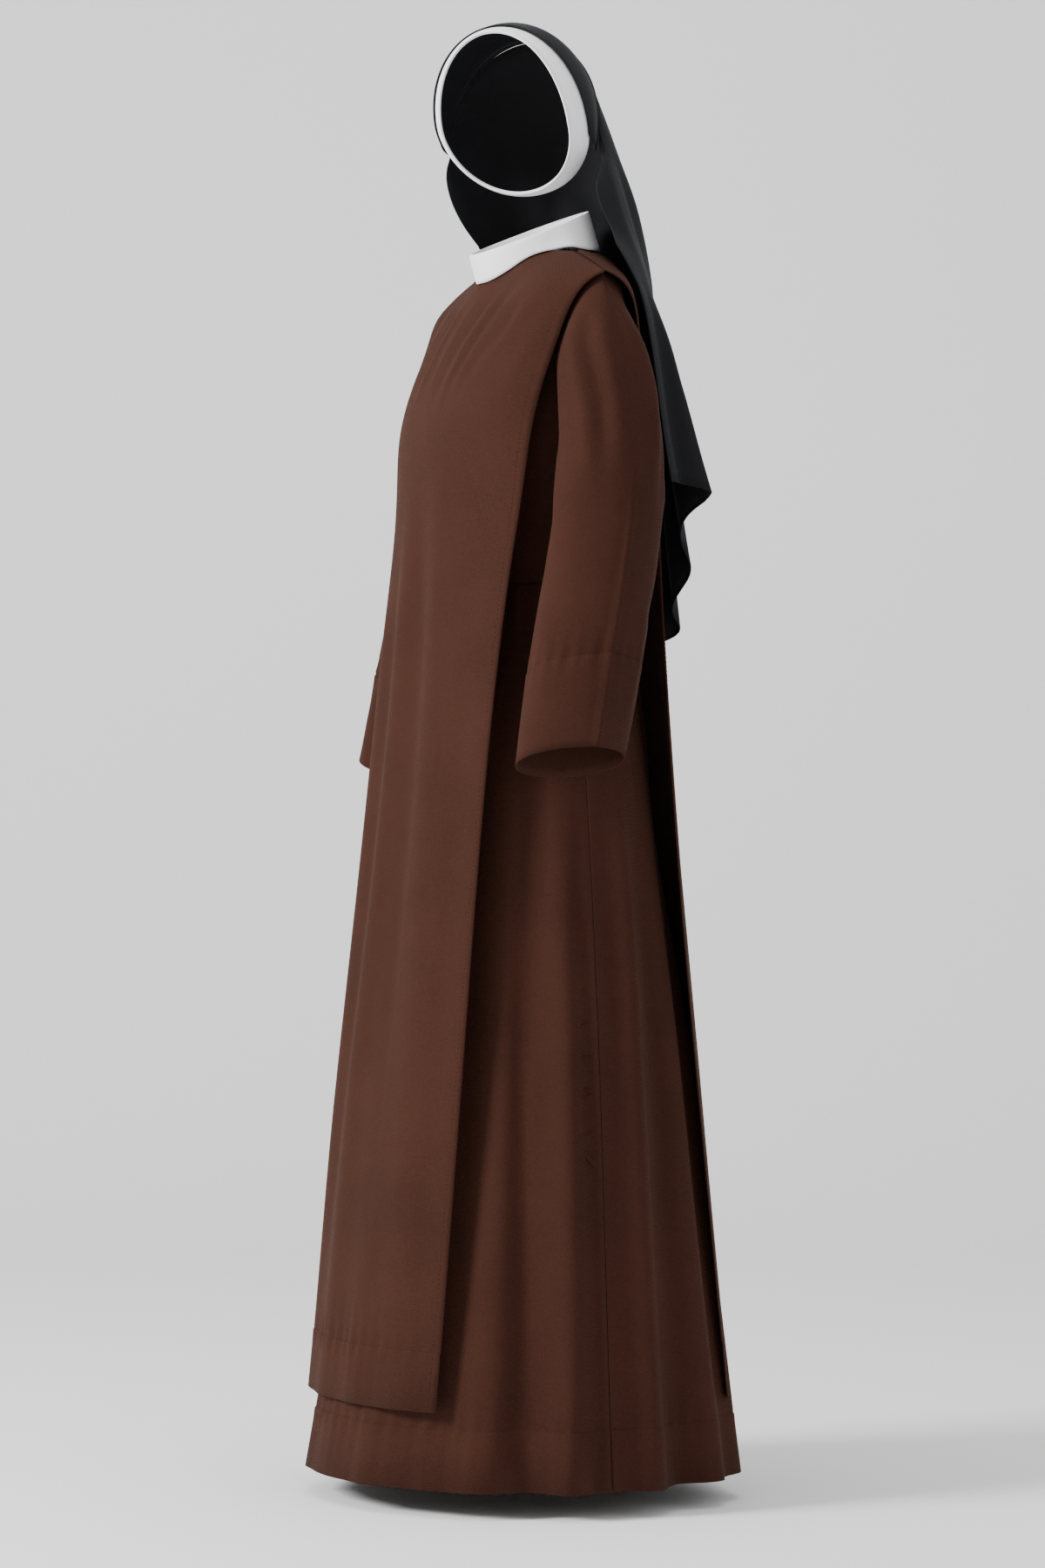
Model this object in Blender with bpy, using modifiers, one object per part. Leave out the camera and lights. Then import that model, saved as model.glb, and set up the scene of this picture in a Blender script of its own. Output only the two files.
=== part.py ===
"""A nun habit as worn: tunic, scapular, collar, headband and veil, each cut piece a thin hollow wall.

Heights are named above the floor. The origin is the middle of the shoulder line, where the
habit is held. The front faces -Y and the wearer's left is +X.
"""
import math

import bmesh
import bpy
from mathutils import Vector

# Driving dimensions, in metres
SHOULDER_HEIGHT = 1.400
WAIST_HEIGHT = 1.035
UNDERARM_HEIGHT = 1.225
TUNIC_HEM_HEIGHT = 0.030
SCAPULAR_HEM_HEIGHT = 0.117
SHOULDER_TIP_X = 0.160
SHOULDER_TIP_HEIGHT = 1.389
NECK_TOP_HEIGHT = 1.435
NECK_HALF_WIDTH = 0.066
NECK_FRONT = 0.067
NECK_BACK = 0.040
SHOULDER_SEAM_Y = 0.022
LEAN_FROM_LEVEL = 0.45
SEAM_HALF = 0.0009
CHEST_LEVEL = 0.55
SEARCH_STEPS = 24
CLOTH = 0.0014
VEIL_CLOTH = 0.0012
COLLAR_CLOTH = 0.0014
BAND_CLOTH = 0.0024

# The head pieces are turned toward the wearer's left, about the middle of the head
HEAD_TURN = math.radians(43)
HEAD_Y = -0.022

# Tunic bodice: level 0 is the waist seam and 1 the shoulder seam. Front and back are depths
# from the line of the shoulder seam.
BODICE_RINGS = [
    {"level": 0.00, "half_width": 0.142, "front": 0.116, "back": 0.108},
    {"level": 0.20, "half_width": 0.153, "front": 0.121, "back": 0.110},
    {"level": 0.40, "half_width": 0.164, "front": 0.121, "back": 0.111},
    {"level": 0.55, "half_width": 0.172, "front": 0.106, "back": 0.104},
    {"level": 0.70, "half_width": 0.178, "front": 0.085, "back": 0.089},
    {"level": 0.82, "half_width": 0.182, "front": 0.070, "back": 0.074},
    {"level": 0.91, "half_width": 0.184, "front": 0.051, "back": 0.064},
    {"level": 0.97, "half_width": 0.185, "front": 0.031, "back": 0.046},
    {"level": 1.00, "half_width": 0.185, "front": 0.0009, "back": 0.0009},
]
ARMHOLE = [
    {"height": 1.225, "half_width": 0.1716},
    {"height": 1.237, "half_width": 0.1675},
    {"height": 1.255, "half_width": 0.1610},
    {"height": 1.300, "half_width": 0.1545},
    {"height": 1.350, "half_width": 0.1560},
    {"height": 1.389, "half_width": 0.1600},
]

# Tunic skirt, by height above the floor
SKIRT_RINGS = [
    {"height": 0.030, "half_width": 0.266, "front": 0.248, "back": 0.221},
    {"height": 0.130, "half_width": 0.257, "front": 0.228, "back": 0.2040},
    {"height": 0.350, "half_width": 0.238, "front": 0.195, "back": 0.179},
    {"height": 0.600, "half_width": 0.214, "front": 0.163, "back": 0.152},
    {"height": 0.800, "half_width": 0.188, "front": 0.142, "back": 0.130},
    {"height": 0.930, "half_width": 0.164, "front": 0.128, "back": 0.116},
    {"height": 1.035, "half_width": 0.142, "front": 0.116, "back": 0.108},
]
# Hanging folds: angle from the front toward the wearer's left, in degrees
SKIRT_FOLDS = [
    {"angle": 0, "width": 14, "depth": 0.005, "starts_at": 0.75},
    {"angle": 27, "width": 12, "depth": 0.006, "starts_at": 0.70},
    {"angle": 54, "width": 9, "depth": 0.018, "starts_at": 0.82},
    {"angle": 79, "width": 7, "depth": 0.030, "starts_at": 0.98},
    {"angle": 98.4, "width": 7, "depth": 0.027, "starts_at": 0.92},
    {"angle": 126, "width": 10, "depth": 0.020, "starts_at": 0.80},
    {"angle": 153, "width": 12, "depth": 0.008, "starts_at": 0.70},
    {"angle": 180, "width": 13, "depth": 0.006, "starts_at": 0.75},
    {"angle": 208, "width": 12, "depth": 0.008, "starts_at": 0.65},
    {"angle": 235, "width": 10, "depth": 0.019, "starts_at": 0.82},
    {"angle": 261.6, "width": 7, "depth": 0.027, "starts_at": 0.95},
    {"angle": 281, "width": 7, "depth": 0.026, "starts_at": 0.88},
    {"angle": 307, "width": 10, "depth": 0.017, "starts_at": 0.80},
    {"angle": 333, "width": 13, "depth": 0.006, "starts_at": 0.70},
]
SIDE_SEAM = 88.7
SIDE_SEAM_MARGIN = 0.11
GATHERS = 14
GATHER_DEPTH = 0.0030
GATHER_LENGTH = 0.085
GATHER_SEAM_ALLOWANCE = 0.012
FOLD_FULL_AT = 0.8

# Scapular: level -1 is its hem, 0 the waist and 1 the shoulder seam
SCAPULAR_FRONT = [
    {"level": -1.00, "half_width": 0.190, "middle": 0.241, "edge": 0.186, "power": 2.3},
    {"level": -0.63, "half_width": 0.186, "middle": 0.203, "edge": 0.156, "power": 2.3},
    {"level": -0.41, "half_width": 0.183, "middle": 0.176, "edge": 0.139, "power": 2.3},
    {"level": -0.20, "half_width": 0.181, "middle": 0.155, "edge": 0.121, "power": 2.3},
    {"level": 0.00, "half_width": 0.181, "middle": 0.140, "edge": 0.097, "power": 2.3},
    {"level": 0.20, "half_width": 0.182, "middle": 0.136, "edge": 0.084, "power": 2.3},
    {"level": 0.40, "half_width": 0.183, "middle": 0.134, "edge": 0.074, "power": 2.6},
    {"level": 0.55, "half_width": 0.184, "middle": 0.118, "edge": 0.067, "power": 4.2},
    {"level": 0.70, "half_width": 0.184, "middle": 0.100, "edge": 0.0575, "power": 5.0},
    {"level": 0.82, "half_width": 0.184, "middle": 0.083, "edge": 0.0470, "power": 5.5},
    {"level": 0.91, "half_width": 0.183, "middle": 0.061, "edge": 0.0360, "power": 5.5},
    {"level": 0.97, "half_width": 0.183, "middle": 0.038, "edge": 0.0220, "power": 5.5},
    {"level": 1.00, "half_width": 0.183, "middle": 0.0009, "edge": 0.0009, "power": 5.5},
]
SCAPULAR_BACK = [
    {"level": -1.00, "half_width": 0.176, "middle": 0.214, "edge": 0.174, "power": 2.3},
    {"level": -0.63, "half_width": 0.174, "middle": 0.185, "edge": 0.140, "power": 2.3},
    {"level": -0.41, "half_width": 0.172, "middle": 0.167, "edge": 0.120, "power": 2.3},
    {"level": -0.20, "half_width": 0.170, "middle": 0.148, "edge": 0.106, "power": 2.3},
    {"level": 0.00, "half_width": 0.170, "middle": 0.128, "edge": 0.095, "power": 2.3},
    {"level": 0.20, "half_width": 0.171, "middle": 0.123, "edge": 0.092, "power": 2.3},
    {"level": 0.40, "half_width": 0.172, "middle": 0.121, "edge": 0.086, "power": 2.3},
    {"level": 0.55, "half_width": 0.174, "middle": 0.1150, "edge": 0.0750, "power": 2.3},
    {"level": 0.70, "half_width": 0.178, "middle": 0.1000, "edge": 0.0580, "power": 2.3},
    {"level": 0.82, "half_width": 0.181, "middle": 0.0840, "edge": 0.0450, "power": 2.3},
    {"level": 0.91, "half_width": 0.183, "middle": 0.0740, "edge": 0.0360, "power": 2.3},
    {"level": 0.97, "half_width": 0.183, "middle": 0.0560, "edge": 0.0230, "power": 2.3},
    {"level": 1.00, "half_width": 0.183, "middle": 0.0009, "edge": 0.0009, "power": 2.3},
]
# The front panel is rounder where it lies over the front of each shoulder
SHOULDER_ROUND = {"x": 0.138, "width": 0.036, "level": 0.885, "height": 0.075, "depth": 0.014}
# Soft folds down a panel: where across it, from -1 at the wearer's right edge to 1 at the left
FRONT_PANEL_FOLDS = [
    {"across": -0.62, "width": 0.17, "depth": 0.004, "top": 0.10},
    {"across": -0.12, "width": 0.16, "depth": 0.006, "top": 0.30},
    {"across": 0.30, "width": 0.14, "depth": 0.004, "top": -0.05},
    {"across": 0.74, "width": 0.15, "depth": 0.005, "top": 0.20},
]
BACK_PANEL_FOLDS = [
    {"across": -0.66, "width": 0.16, "depth": 0.005, "top": 0.20},
    {"across": -0.20, "width": 0.16, "depth": 0.004, "top": 0.00},
    {"across": 0.28, "width": 0.15, "depth": 0.005, "top": 0.25},
    {"across": 0.70, "width": 0.17, "depth": 0.004, "top": 0.10},
]
PANEL_FOLD_RUN = 0.6
SCAPULAR_LIFT = CLOTH + 0.0020
SCAPULAR_NECK_EASE = 0.0075

# Sleeve, left arm, from just below the armhole to the cuff: its outer and inner lines, and
# how far its section reaches to the front and back
SLEEVE_SECTIONS = [
    {"outer_x": 0.176, "outer_height": 1.379, "inner_x": 0.1745, "inner_height": 1.214,
     "front": -0.036, "back": 0.056},
    {"outer_x": 0.206, "outer_height": 1.346, "inner_x": 0.1775, "inner_height": 1.192,
     "front": -0.042, "back": 0.068},
    {"outer_x": 0.239, "outer_height": 1.290, "inner_x": 0.1790, "inner_height": 1.160,
     "front": -0.046, "back": 0.074},
    {"outer_x": 0.260, "outer_height": 1.215, "inner_x": 0.1800, "inner_height": 1.118,
     "front": -0.049, "back": 0.077},
    {"outer_x": 0.269, "outer_height": 1.120, "inner_x": 0.1820, "inner_height": 1.055,
     "front": -0.062, "back": 0.070},
    {"outer_x": 0.276, "outer_height": 1.010, "inner_x": 0.1870, "inner_height": 0.980,
     "front": -0.082, "back": 0.052},
    {"outer_x": 0.284, "outer_height": 0.925, "inner_x": 0.1960, "inner_height": 0.900,
     "front": -0.099, "back": 0.034},
    {"outer_x": 0.292, "outer_height": 0.851, "inner_x": 0.2040, "inner_height": 0.817,
     "front": -0.112, "back": 0.014},
]
ARMHOLE_GAP = 0.0016
CREASE_STAND = 0.006
CREASE_WIDTH = 22
CREASE_ANGLE = 8
CREASE_FROM = 0.3
CREASE_FULL_AT = 0.6
UNDER_SCAPULAR = 0.0080
PAST_SCAPULAR_SLOPE = 0.5
SLEEVE_SIDES = 26

# Collar: the plan of its lower edge, and its folded top ring
COLLAR_BASE = {"half_width": 0.0800, "front": 0.0790, "back": 0.0610}
COLLAR_TOP = {"half_width": 0.0715, "front": 0.0660, "back": 0.0720, "low": 1.413, "high": 1.468}
COLLAR_FOLD_RADIUS = 0.0022
COLLAR_HOLLOW = 0.003
COLLAR_OPENING = 2.5
COLLAR_REST_GAP = 0.0021
COLLAR_FOOT_INSET = COLLAR_CLOTH + 0.0020
COLLAR_FOLD_FROM = 0.4
COLLAR_FOLD_TO = 0.6

# Headband: one ring for each edge, in the turned frame of the head.
# Lean is how far the ring runs back from its top to the level of the ears.
BAND_FRONT = {
    "half_width": 0.0815, "middle": 1.562, "up": 0.105, "down": 0.072,
    "start": -0.047, "lean": 0.0350, "power": 1.20,
}
BAND_BACK = {
    "half_width": 0.0945, "middle": 1.568, "up": 0.106, "down": 0.078,
    "start": -0.030, "lean": 0.0335, "power": 1.30,
}
BAND_UNDER_VEIL = 0.30
BAND_NARROWING = 0.3
BAND_CROWN = 0.0025

# Veil: the crown ends at the crease, an arch over the head
VEIL_EDGE_ANGLE = 104
CREASE = {"half_width": 0.0930, "middle": 1.562, "up": 0.108, "back": 0.040, "top_back": 0.020}
CROWN_BULGE = 0.011
CROWN_SIDE_BULGE = 0.35
CROWN_CREASE_GAP = 0.03
CROWN_LIFT = 0.0024
# Rings of the fall, from the back of the head to the hem. An edge angle counts from the front
# to where the cloth begins on that side.
VEIL_RINGS = [
    {"x": -0.0176, "y": 0.0026, "half_width": 0.101, "depth": 0.095, "turn": 43,
     "left_edge": 90, "right_edge": 90, "edge_height": 1.525, "back_height": 1.605, "power": 1.0},
    {"x": -0.0122, "y": 0.0145, "half_width": 0.107, "depth": 0.098, "turn": 43,
     "left_edge": 62, "right_edge": 88, "edge_height": 1.485, "back_height": 1.520, "power": 1.0},
    {"x": -0.0120, "y": 0.0330, "half_width": 0.113, "depth": 0.092, "turn": 30,
     "left_edge": 74, "right_edge": 88, "edge_height": 1.445, "back_height": 1.430, "power": 1.0},
    {"x": -0.0100, "y": 0.0465, "half_width": 0.130, "depth": 0.089, "turn": 10,
     "left_edge": 84, "right_edge": 82, "edge_height": 1.425, "back_height": 1.374, "power": 1.0},
    {"x": -0.0080, "y": 0.0600, "half_width": 0.143, "depth": 0.075, "turn": 4,
     "left_edge": 88, "right_edge": 88, "edge_height": 1.401, "back_height": 1.327, "power": 1.0},
    {"x": -0.0060, "y": 0.0800, "half_width": 0.154, "depth": 0.062, "turn": 2,
     "left_edge": 92, "right_edge": 94, "edge_height": 1.345, "back_height": 1.265, "power": 1.0},
    {"x": 0.0000, "y": 0.0776, "half_width": 0.172, "depth": 0.074, "turn": 2,
     "left_edge": 97, "right_edge": 97, "edge_height": 1.235, "back_height": 1.130, "power": 2.0},
    {"x": 0.0000, "y": 0.0870, "half_width": 0.188, "depth": 0.078, "turn": 2,
     "left_edge": 95, "right_edge": 95, "edge_height": 1.150, "back_height": 0.970, "power": 4.0},
]
VEIL_FOLDS = [
    {"across": 0.17, "width": 0.050, "depth": 0.050},
    {"across": 0.325, "width": 0.032, "depth": 0.020},
    {"across": 0.43, "width": 0.028, "depth": 0.026},
    {"across": 0.535, "width": 0.030, "depth": 0.022},
    {"across": 0.645, "width": 0.032, "depth": 0.025},
    {"across": 0.76, "width": 0.032, "depth": 0.022},
    {"across": 0.88, "width": 0.038, "depth": 0.032},
]
# Places count rings down the fall: the folds open between these two
VEIL_FOLDS_FROM = 4.2
VEIL_FOLDS_FULL = 8.0
VEIL_CORNER_GAP = 0.30
VEIL_CORNER_POWER = 6
VEIL_REST_GAP = -0.0008
VEIL_RIDGE_GAP = 0.0075
VEIL_RIDGE_REACH = 0.055

# Colour and roughness of each cloth
CLOTHS = {
    "habit_cloth": {"color": (0.125, 0.062, 0.045, 1.0), "roughness": 0.85},
    "veil_cloth": {"color": (0.018, 0.018, 0.020, 1.0), "roughness": 0.80},
    "white_cloth": {"color": (0.83, 0.83, 0.85, 1.0), "roughness": 0.75},
}


def clear_scene():
    for item in list(bpy.data.objects):
        bpy.data.objects.remove(item)


def cloth_material(name, cloth):
    material = bpy.data.materials.new(name)
    material.use_nodes = True
    shader = material.node_tree.nodes["Principled BSDF"]
    shader.inputs["Base Color"].default_value = CLOTHS[cloth]["color"]
    shader.inputs["Roughness"].default_value = CLOTHS[cloth]["roughness"]
    shader.inputs["Metallic"].default_value = 0.0
    return material


def read_table(table, key, column, value):
    """One column of a table as a smooth curve through its rows."""
    rows = sorted(table, key=lambda row: row[key])
    keys = [row[key] for row in rows]
    values = [row[column] for row in rows]
    if value <= keys[0]:
        return values[0]
    if value >= keys[-1]:
        return values[-1]
    index = max(i for i, k in enumerate(keys) if k <= value)
    slopes = []
    for i in (index, index + 1):
        before = max(i - 1, 0)
        after = min(i + 1, len(keys) - 1)
        slopes.append((values[after] - values[before]) / (keys[after] - keys[before]))
    span = keys[index + 1] - keys[index]
    t = (value - keys[index]) / span
    start = values[index] * (1 + 2 * t) * (1 - t) ** 2 + slopes[0] * span * t * (1 - t) ** 2
    end = values[index + 1] * t * t * (3 - 2 * t) + slopes[1] * span * t * t * (t - 1)
    return start + end


def between(a, b, t):
    return a + (b - a) * t


def ease(t):
    t = min(max(t, 0.0), 1.0)
    return t * t * (3 - 2 * t)


def bump(distance, width):
    return math.exp(-((distance / width) ** 2))


def fold_wave(distance, width):
    """A soft ridge with a shallow trough on both sides."""
    return bump(distance, width) - 0.4 * bump(distance, 2 * width)


def spaced(count, start=0.0, end=1.0):
    return [between(start, end, i / (count - 1)) for i in range(count)]


def wall(name, cloth, thickness, point, across, up, closed=False):
    """A cloth wall: a grid of points on its outer face, thickened inward."""
    mesh = bpy.data.meshes.new(name)
    grid = bmesh.new()
    rows = [[grid.verts.new(point(u, v)) for u in across] for v in up]
    last = len(across) if closed else len(across) - 1
    for lower, upper in zip(rows, rows[1:]):
        for i in range(last):
            j = (i + 1) % len(across)
            grid.faces.new((lower[i], lower[j], upper[j], upper[i]))
    grid.to_mesh(mesh)
    grid.free()
    mesh.shade_smooth()
    piece = bpy.data.objects.new(name, mesh)
    collection.objects.link(piece)
    mesh.materials.append(cloth_material(name, cloth))
    thicken = piece.modifiers.new("cloth", "SOLIDIFY")
    thicken.thickness = thickness
    thicken.offset = -1.0
    return piece


def from_floor(x, y, height):
    return Vector((x, y, height - SHOULDER_HEIGHT))


def shoulder_height(x):
    """Height of the shoulder seam, and of its line carried on over the neck and sleeve."""
    slope = (NECK_TOP_HEIGHT - SHOULDER_TIP_HEIGHT) / SHOULDER_TIP_X ** 1.25
    return NECK_TOP_HEIGHT - slope * abs(x) ** 1.25


def seam_y(level):
    """The middle line of the tunic and scapular, which leans back toward the shoulder seam."""
    return SHOULDER_SEAM_Y * ease((level - LEAN_FROM_LEVEL) / (1 - LEAN_FROM_LEVEL))


def bodice_depth(level, x, face):
    """How far the bodice stands out from its middle line, on its front or its back."""
    depth = read_table(BODICE_RINGS, "level", face, level)
    half_width = read_table(BODICE_RINGS, "level", "half_width", level)
    share = min(abs(x) / half_width, 1.0)
    return max(depth * math.sqrt(1 - share * share), SEAM_HALF)


def torso_point(level, x, face, depth_at, lift=0.0):
    """A point of a panel above the waist."""
    direction = -1 if face == "front" else 1
    y = seam_y(level) + direction * depth_at(level, x, face)
    return x, y, between(WAIST_HEIGHT, shoulder_height(x) + lift, level)


def level_at_y(x, y, face, depth_at):
    """The level, above the chest, where a panel reaches y."""
    direction = -1 if face == "front" else 1
    low = CHEST_LEVEL
    high = 1.0
    for _ in range(SEARCH_STEPS):
        middle = (low + high) / 2
        if direction * (seam_y(middle) + direction * depth_at(middle, x, face) - y) > 0:
            low = middle
        else:
            high = middle
    return (low + high) / 2


def neckline_y(x, face, grow=0.0):
    """The neck hole is an oval whose widest points lie on the shoulder seams."""
    share = min(abs(x) / (NECK_HALF_WIDTH + grow), 1.0)
    if face == "front":
        return SHOULDER_SEAM_Y - (NECK_FRONT + grow) * math.sqrt(1 - share * share)
    return SHOULDER_SEAM_Y + (NECK_BACK + grow) * math.sqrt(1 - share * share)


def bodice_point(side, level_share, face):
    """side runs from -1 to 1 between the side seams or armholes, level_share from 0 to 1."""
    level = level_share
    for _ in range(3):
        half_width = read_table(BODICE_RINGS, "level", "half_width", level)
        height = between(WAIST_HEIGHT, shoulder_height(side * half_width), level)
        edge = half_width
        if height > UNDERARM_HEIGHT:
            edge = read_table(ARMHOLE, "height", "half_width", height)
        reach = math.asin(min(edge / half_width, 1.0))
        x = half_width * math.sin(side * reach)
        top = 1.0
        if abs(x) < NECK_HALF_WIDTH:
            top = level_at_y(x, neckline_y(x, face), face, bodice_depth)
        level = level_share * top
    return from_floor(*torso_point(level, x, face, bodice_depth))


def columns_round_neck(neck_side, beyond):
    """Columns across a panel, closer together round the neck hole's ends."""
    half = [neck_side * math.sin(math.radians(angle)) for angle in range(15, 91, 15)]
    half += [between(neck_side, 1.0, i / beyond) for i in range(1, beyond + 1)]
    return [-side for side in half[::-1]] + [0.0] + half


BODICE_NECK_SIDE = 0.349
BODICE_SIDES = columns_round_neck(BODICE_NECK_SIDE, 6)
BODICE_LEVELS = [0.0, 0.12, 0.25, 0.38, 0.50, 0.60, 0.70, 0.79, 0.87, 0.94, 0.98, 1.0]


def bodice(face):
    name = "bodice_" + face
    direction = 1 if face == "front" else -1

    def point(side, level):
        return bodice_point(direction * side, level, face)

    wall(name, "habit_cloth", CLOTH, point, BODICE_SIDES, BODICE_LEVELS)


def gather_wave(angle):
    """Small gathers into the waist seam, level at both side seams of a panel."""
    away = (angle + 180) % 360 - 180
    if abs(away) < SIDE_SEAM:
        share = (away + SIDE_SEAM) / (2 * SIDE_SEAM)
    else:
        share = (angle % 360 - SIDE_SEAM) / (360 - 2 * SIDE_SEAM)
    return -math.cos(2 * math.pi * GATHERS * share)


def skirt_point(angle, height):
    """The tunic's skirt by angle from the front, with its gathers and hanging folds."""
    turn = math.radians(angle)
    half_width = read_table(SKIRT_RINGS, "height", "half_width", height)
    face = "front" if math.cos(turn) > 0 else "back"
    depth = read_table(SKIRT_RINGS, "height", face, height)
    stand = 0.0
    for fold in SKIRT_FOLDS:
        away = (angle - fold["angle"] + 180) % 360 - 180
        run = FOLD_FULL_AT * (fold["starts_at"] - TUNIC_HEM_HEIGHT)
        fall = ease((fold["starts_at"] - height) / run)
        stand += fold["depth"] * fall * fold_wave(away, fold["width"])
    below_waist = WAIST_HEIGHT - height
    gather = ease(below_waist / GATHER_SEAM_ALLOWANCE) * math.exp(-below_waist / GATHER_LENGTH)
    stand += GATHER_DEPTH * gather * gather_wave(angle)
    x = (half_width + stand) * math.sin(turn)
    y = -(depth + stand) * math.cos(turn)
    return from_floor(x, y, height)


SKIRT_HEIGHTS = [
    1.0347, 1.022, 1.000, 0.968, 0.915, 0.840, 0.730, 0.590, 0.430, 0.240, 0.030,
]


def skirt(name, start, end):
    angles = spaced(4 * GATHERS + 1, start + SIDE_SEAM_MARGIN, end - SIDE_SEAM_MARGIN)
    wall(name, "habit_cloth", CLOTH, skirt_point, angles, SKIRT_HEIGHTS[::-1])


def scapular_depth(level, x, face):
    """How far a scapular panel stands out from the middle line."""
    table = SCAPULAR_FRONT if face == "front" else SCAPULAR_BACK
    folds = FRONT_PANEL_FOLDS if face == "front" else BACK_PANEL_FOLDS
    half_width = read_table(table, "level", "half_width", level)
    middle = read_table(table, "level", "middle", level)
    edge = read_table(table, "level", "edge", level)
    share = min(abs(x) / half_width, 1.0)
    depth = between(middle, edge, share ** read_table(table, "level", "power", level))
    if face == "front":
        rounding = bump(abs(x) - SHOULDER_ROUND["x"], SHOULDER_ROUND["width"])
        rounding *= bump(level - SHOULDER_ROUND["level"], SHOULDER_ROUND["height"])
        depth += SHOULDER_ROUND["depth"] * rounding
    for fold in folds:
        fall = ease((fold["top"] - level) / PANEL_FOLD_RUN)
        depth += fold["depth"] * fall * fold_wave(x / half_width - fold["across"], fold["width"])
    return max(depth, SEAM_HALF)


def scapular_point(side, level_share, face):
    """side runs from -1 to 1 across the panel, level_share from -1 at the hem to 1."""
    table = SCAPULAR_FRONT if face == "front" else SCAPULAR_BACK
    level = level_share
    for _ in range(3):
        x = side * read_table(table, "level", "half_width", level)
        top = 1.0
        if abs(x) < NECK_HALF_WIDTH + SCAPULAR_NECK_EASE:
            top = level_at_y(x, neckline_y(x, face, SCAPULAR_NECK_EASE), face, scapular_depth)
        level = level_share * top if level_share > 0 else level_share
    if level >= 0:
        return from_floor(*torso_point(level, x, face, scapular_depth, SCAPULAR_LIFT))
    direction = -1 if face == "front" else 1
    height = between(WAIST_HEIGHT, SCAPULAR_HEM_HEIGHT, -level)
    return from_floor(x, direction * scapular_depth(level, x, face), height)


SCAPULAR_NECK_SIDE = 0.377
SCAPULAR_SIDES = columns_round_neck(SCAPULAR_NECK_SIDE, 5)
SCAPULAR_LEVELS = [
    -1.0, -0.80, -0.60, -0.40, -0.20, 0.0, 0.18, 0.33,
    0.46, 0.58, 0.69, 0.79, 0.87, 0.94, 0.98, 1.0,
]


def scapular(face):
    direction = 1 if face == "front" else -1

    def point(side, level):
        return scapular_point(direction * side, level, face)

    wall("scapular_" + face, "habit_cloth", CLOTH, point, SCAPULAR_SIDES, SCAPULAR_LEVELS)


def under_scapular(x, y, height):
    """Keeps the head of the sleeve below the scapular's edge, which lies over it."""
    face = "front" if y < seam_y(1.0) else "back"
    table = SCAPULAR_FRONT if face == "front" else SCAPULAR_BACK
    level = (height - WAIST_HEIGHT) / (shoulder_height(x) - WAIST_HEIGHT)
    if level >= 1.0:
        return y
    half_width = read_table(table, "level", "half_width", level)
    limit = scapular_depth(level, min(x + UNDER_SCAPULAR, half_width), face) - UNDER_SCAPULAR
    limit += PAST_SCAPULAR_SLOPE * max(x - half_width, 0.0)
    if face == "front":
        return max(y, seam_y(level) - limit)
    return min(y, seam_y(level) + limit)


def sleeve_point(angle, share):
    """angle 0 is the outer side and 90 the back; share 0 is below the armhole and 1 the cuff."""
    rows = [dict(row, place=i) for i, row in enumerate(SLEEVE_SECTIONS)]
    place = share * (len(rows) - 1)
    size = {column: read_table(rows, "place", column, place) for column in SLEEVE_SECTIONS[0]}
    swing = math.radians(angle)
    away = (angle - CREASE_ANGLE + 180) % 360 - 180
    pressed = ease((share - CREASE_FROM) / (CREASE_FULL_AT - CREASE_FROM))
    crease = CREASE_STAND * pressed * bump(away, CREASE_WIDTH)
    out = (1 + math.cos(swing)) / 2
    x = between(size["inner_x"], size["outer_x"], out) + crease
    height = between(size["inner_height"], size["outer_height"], out)
    y = between(size["front"], size["back"], (1 + math.sin(swing)) / 2)
    return x, under_scapular(x, y, height), height


def armhole_point(angle):
    """The sleeve's sewn edge follows the bodice's armhole, one seam gap outside it."""
    middle = (UNDERARM_HEIGHT + SHOULDER_TIP_HEIGHT) / 2
    height = middle + (SHOULDER_TIP_HEIGHT - middle) * math.cos(math.radians(angle))
    x = read_table(ARMHOLE, "height", "half_width", height)
    face = "back" if math.sin(math.radians(angle)) > 0 else "front"
    level = min((height - WAIST_HEIGHT) / (shoulder_height(x) - WAIST_HEIGHT), 1.0)
    _, y, _ = torso_point(level, x, face, bodice_depth)
    return x + ARMHOLE_GAP, y, height


def sleeve(name, side):
    def point(angle, share):
        x, y, height = armhole_point(side * angle) if share < 0 else sleeve_point(side * angle, share)
        return from_floor(side * x, y, height)

    angles = [side * 360 * i / SLEEVE_SIDES for i in range(SLEEVE_SIDES)]
    if side < 0:
        angles = [-angle for angle in angles]
    shares = [1.0, 0.93, 0.84, 0.72, 0.60, 0.48, 0.37, 0.26, 0.14, 0.0, -1]
    wall(name, "habit_cloth", CLOTH, point, angles, shares, closed=True)


def oval(ring, angle, middle_y, shrink=0.0):
    """A point of an oval in plan: angle 0 is the front, 90 the wearer's left."""
    turn = math.radians(angle)
    depth = ring["front"] if math.cos(turn) > 0 else ring["back"]
    x = (ring["half_width"] - shrink) * math.sin(turn)
    return x, middle_y - (depth - shrink) * math.cos(turn)


def collar_top(angle, shrink=0.0):
    x, y = oval(COLLAR_TOP, angle, 0.0, shrink)
    rise = (y + COLLAR_TOP["front"]) / (COLLAR_TOP["front"] + COLLAR_TOP["back"])
    return Vector((x, y, between(COLLAR_TOP["low"], COLLAR_TOP["high"], rise)))


def collar_base(angle):
    """The lower edge of the turned-over fall, just above the scapular."""
    x, y = oval(COLLAR_BASE, angle, SHOULDER_SEAM_Y)
    face = "front" if y < SHOULDER_SEAM_Y else "back"
    level = level_at_y(x, y, face, scapular_depth)
    _, _, height = torso_point(level, x, face, scapular_depth, SCAPULAR_LIFT)
    return Vector((x, y, height + COLLAR_REST_GAP))


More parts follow.
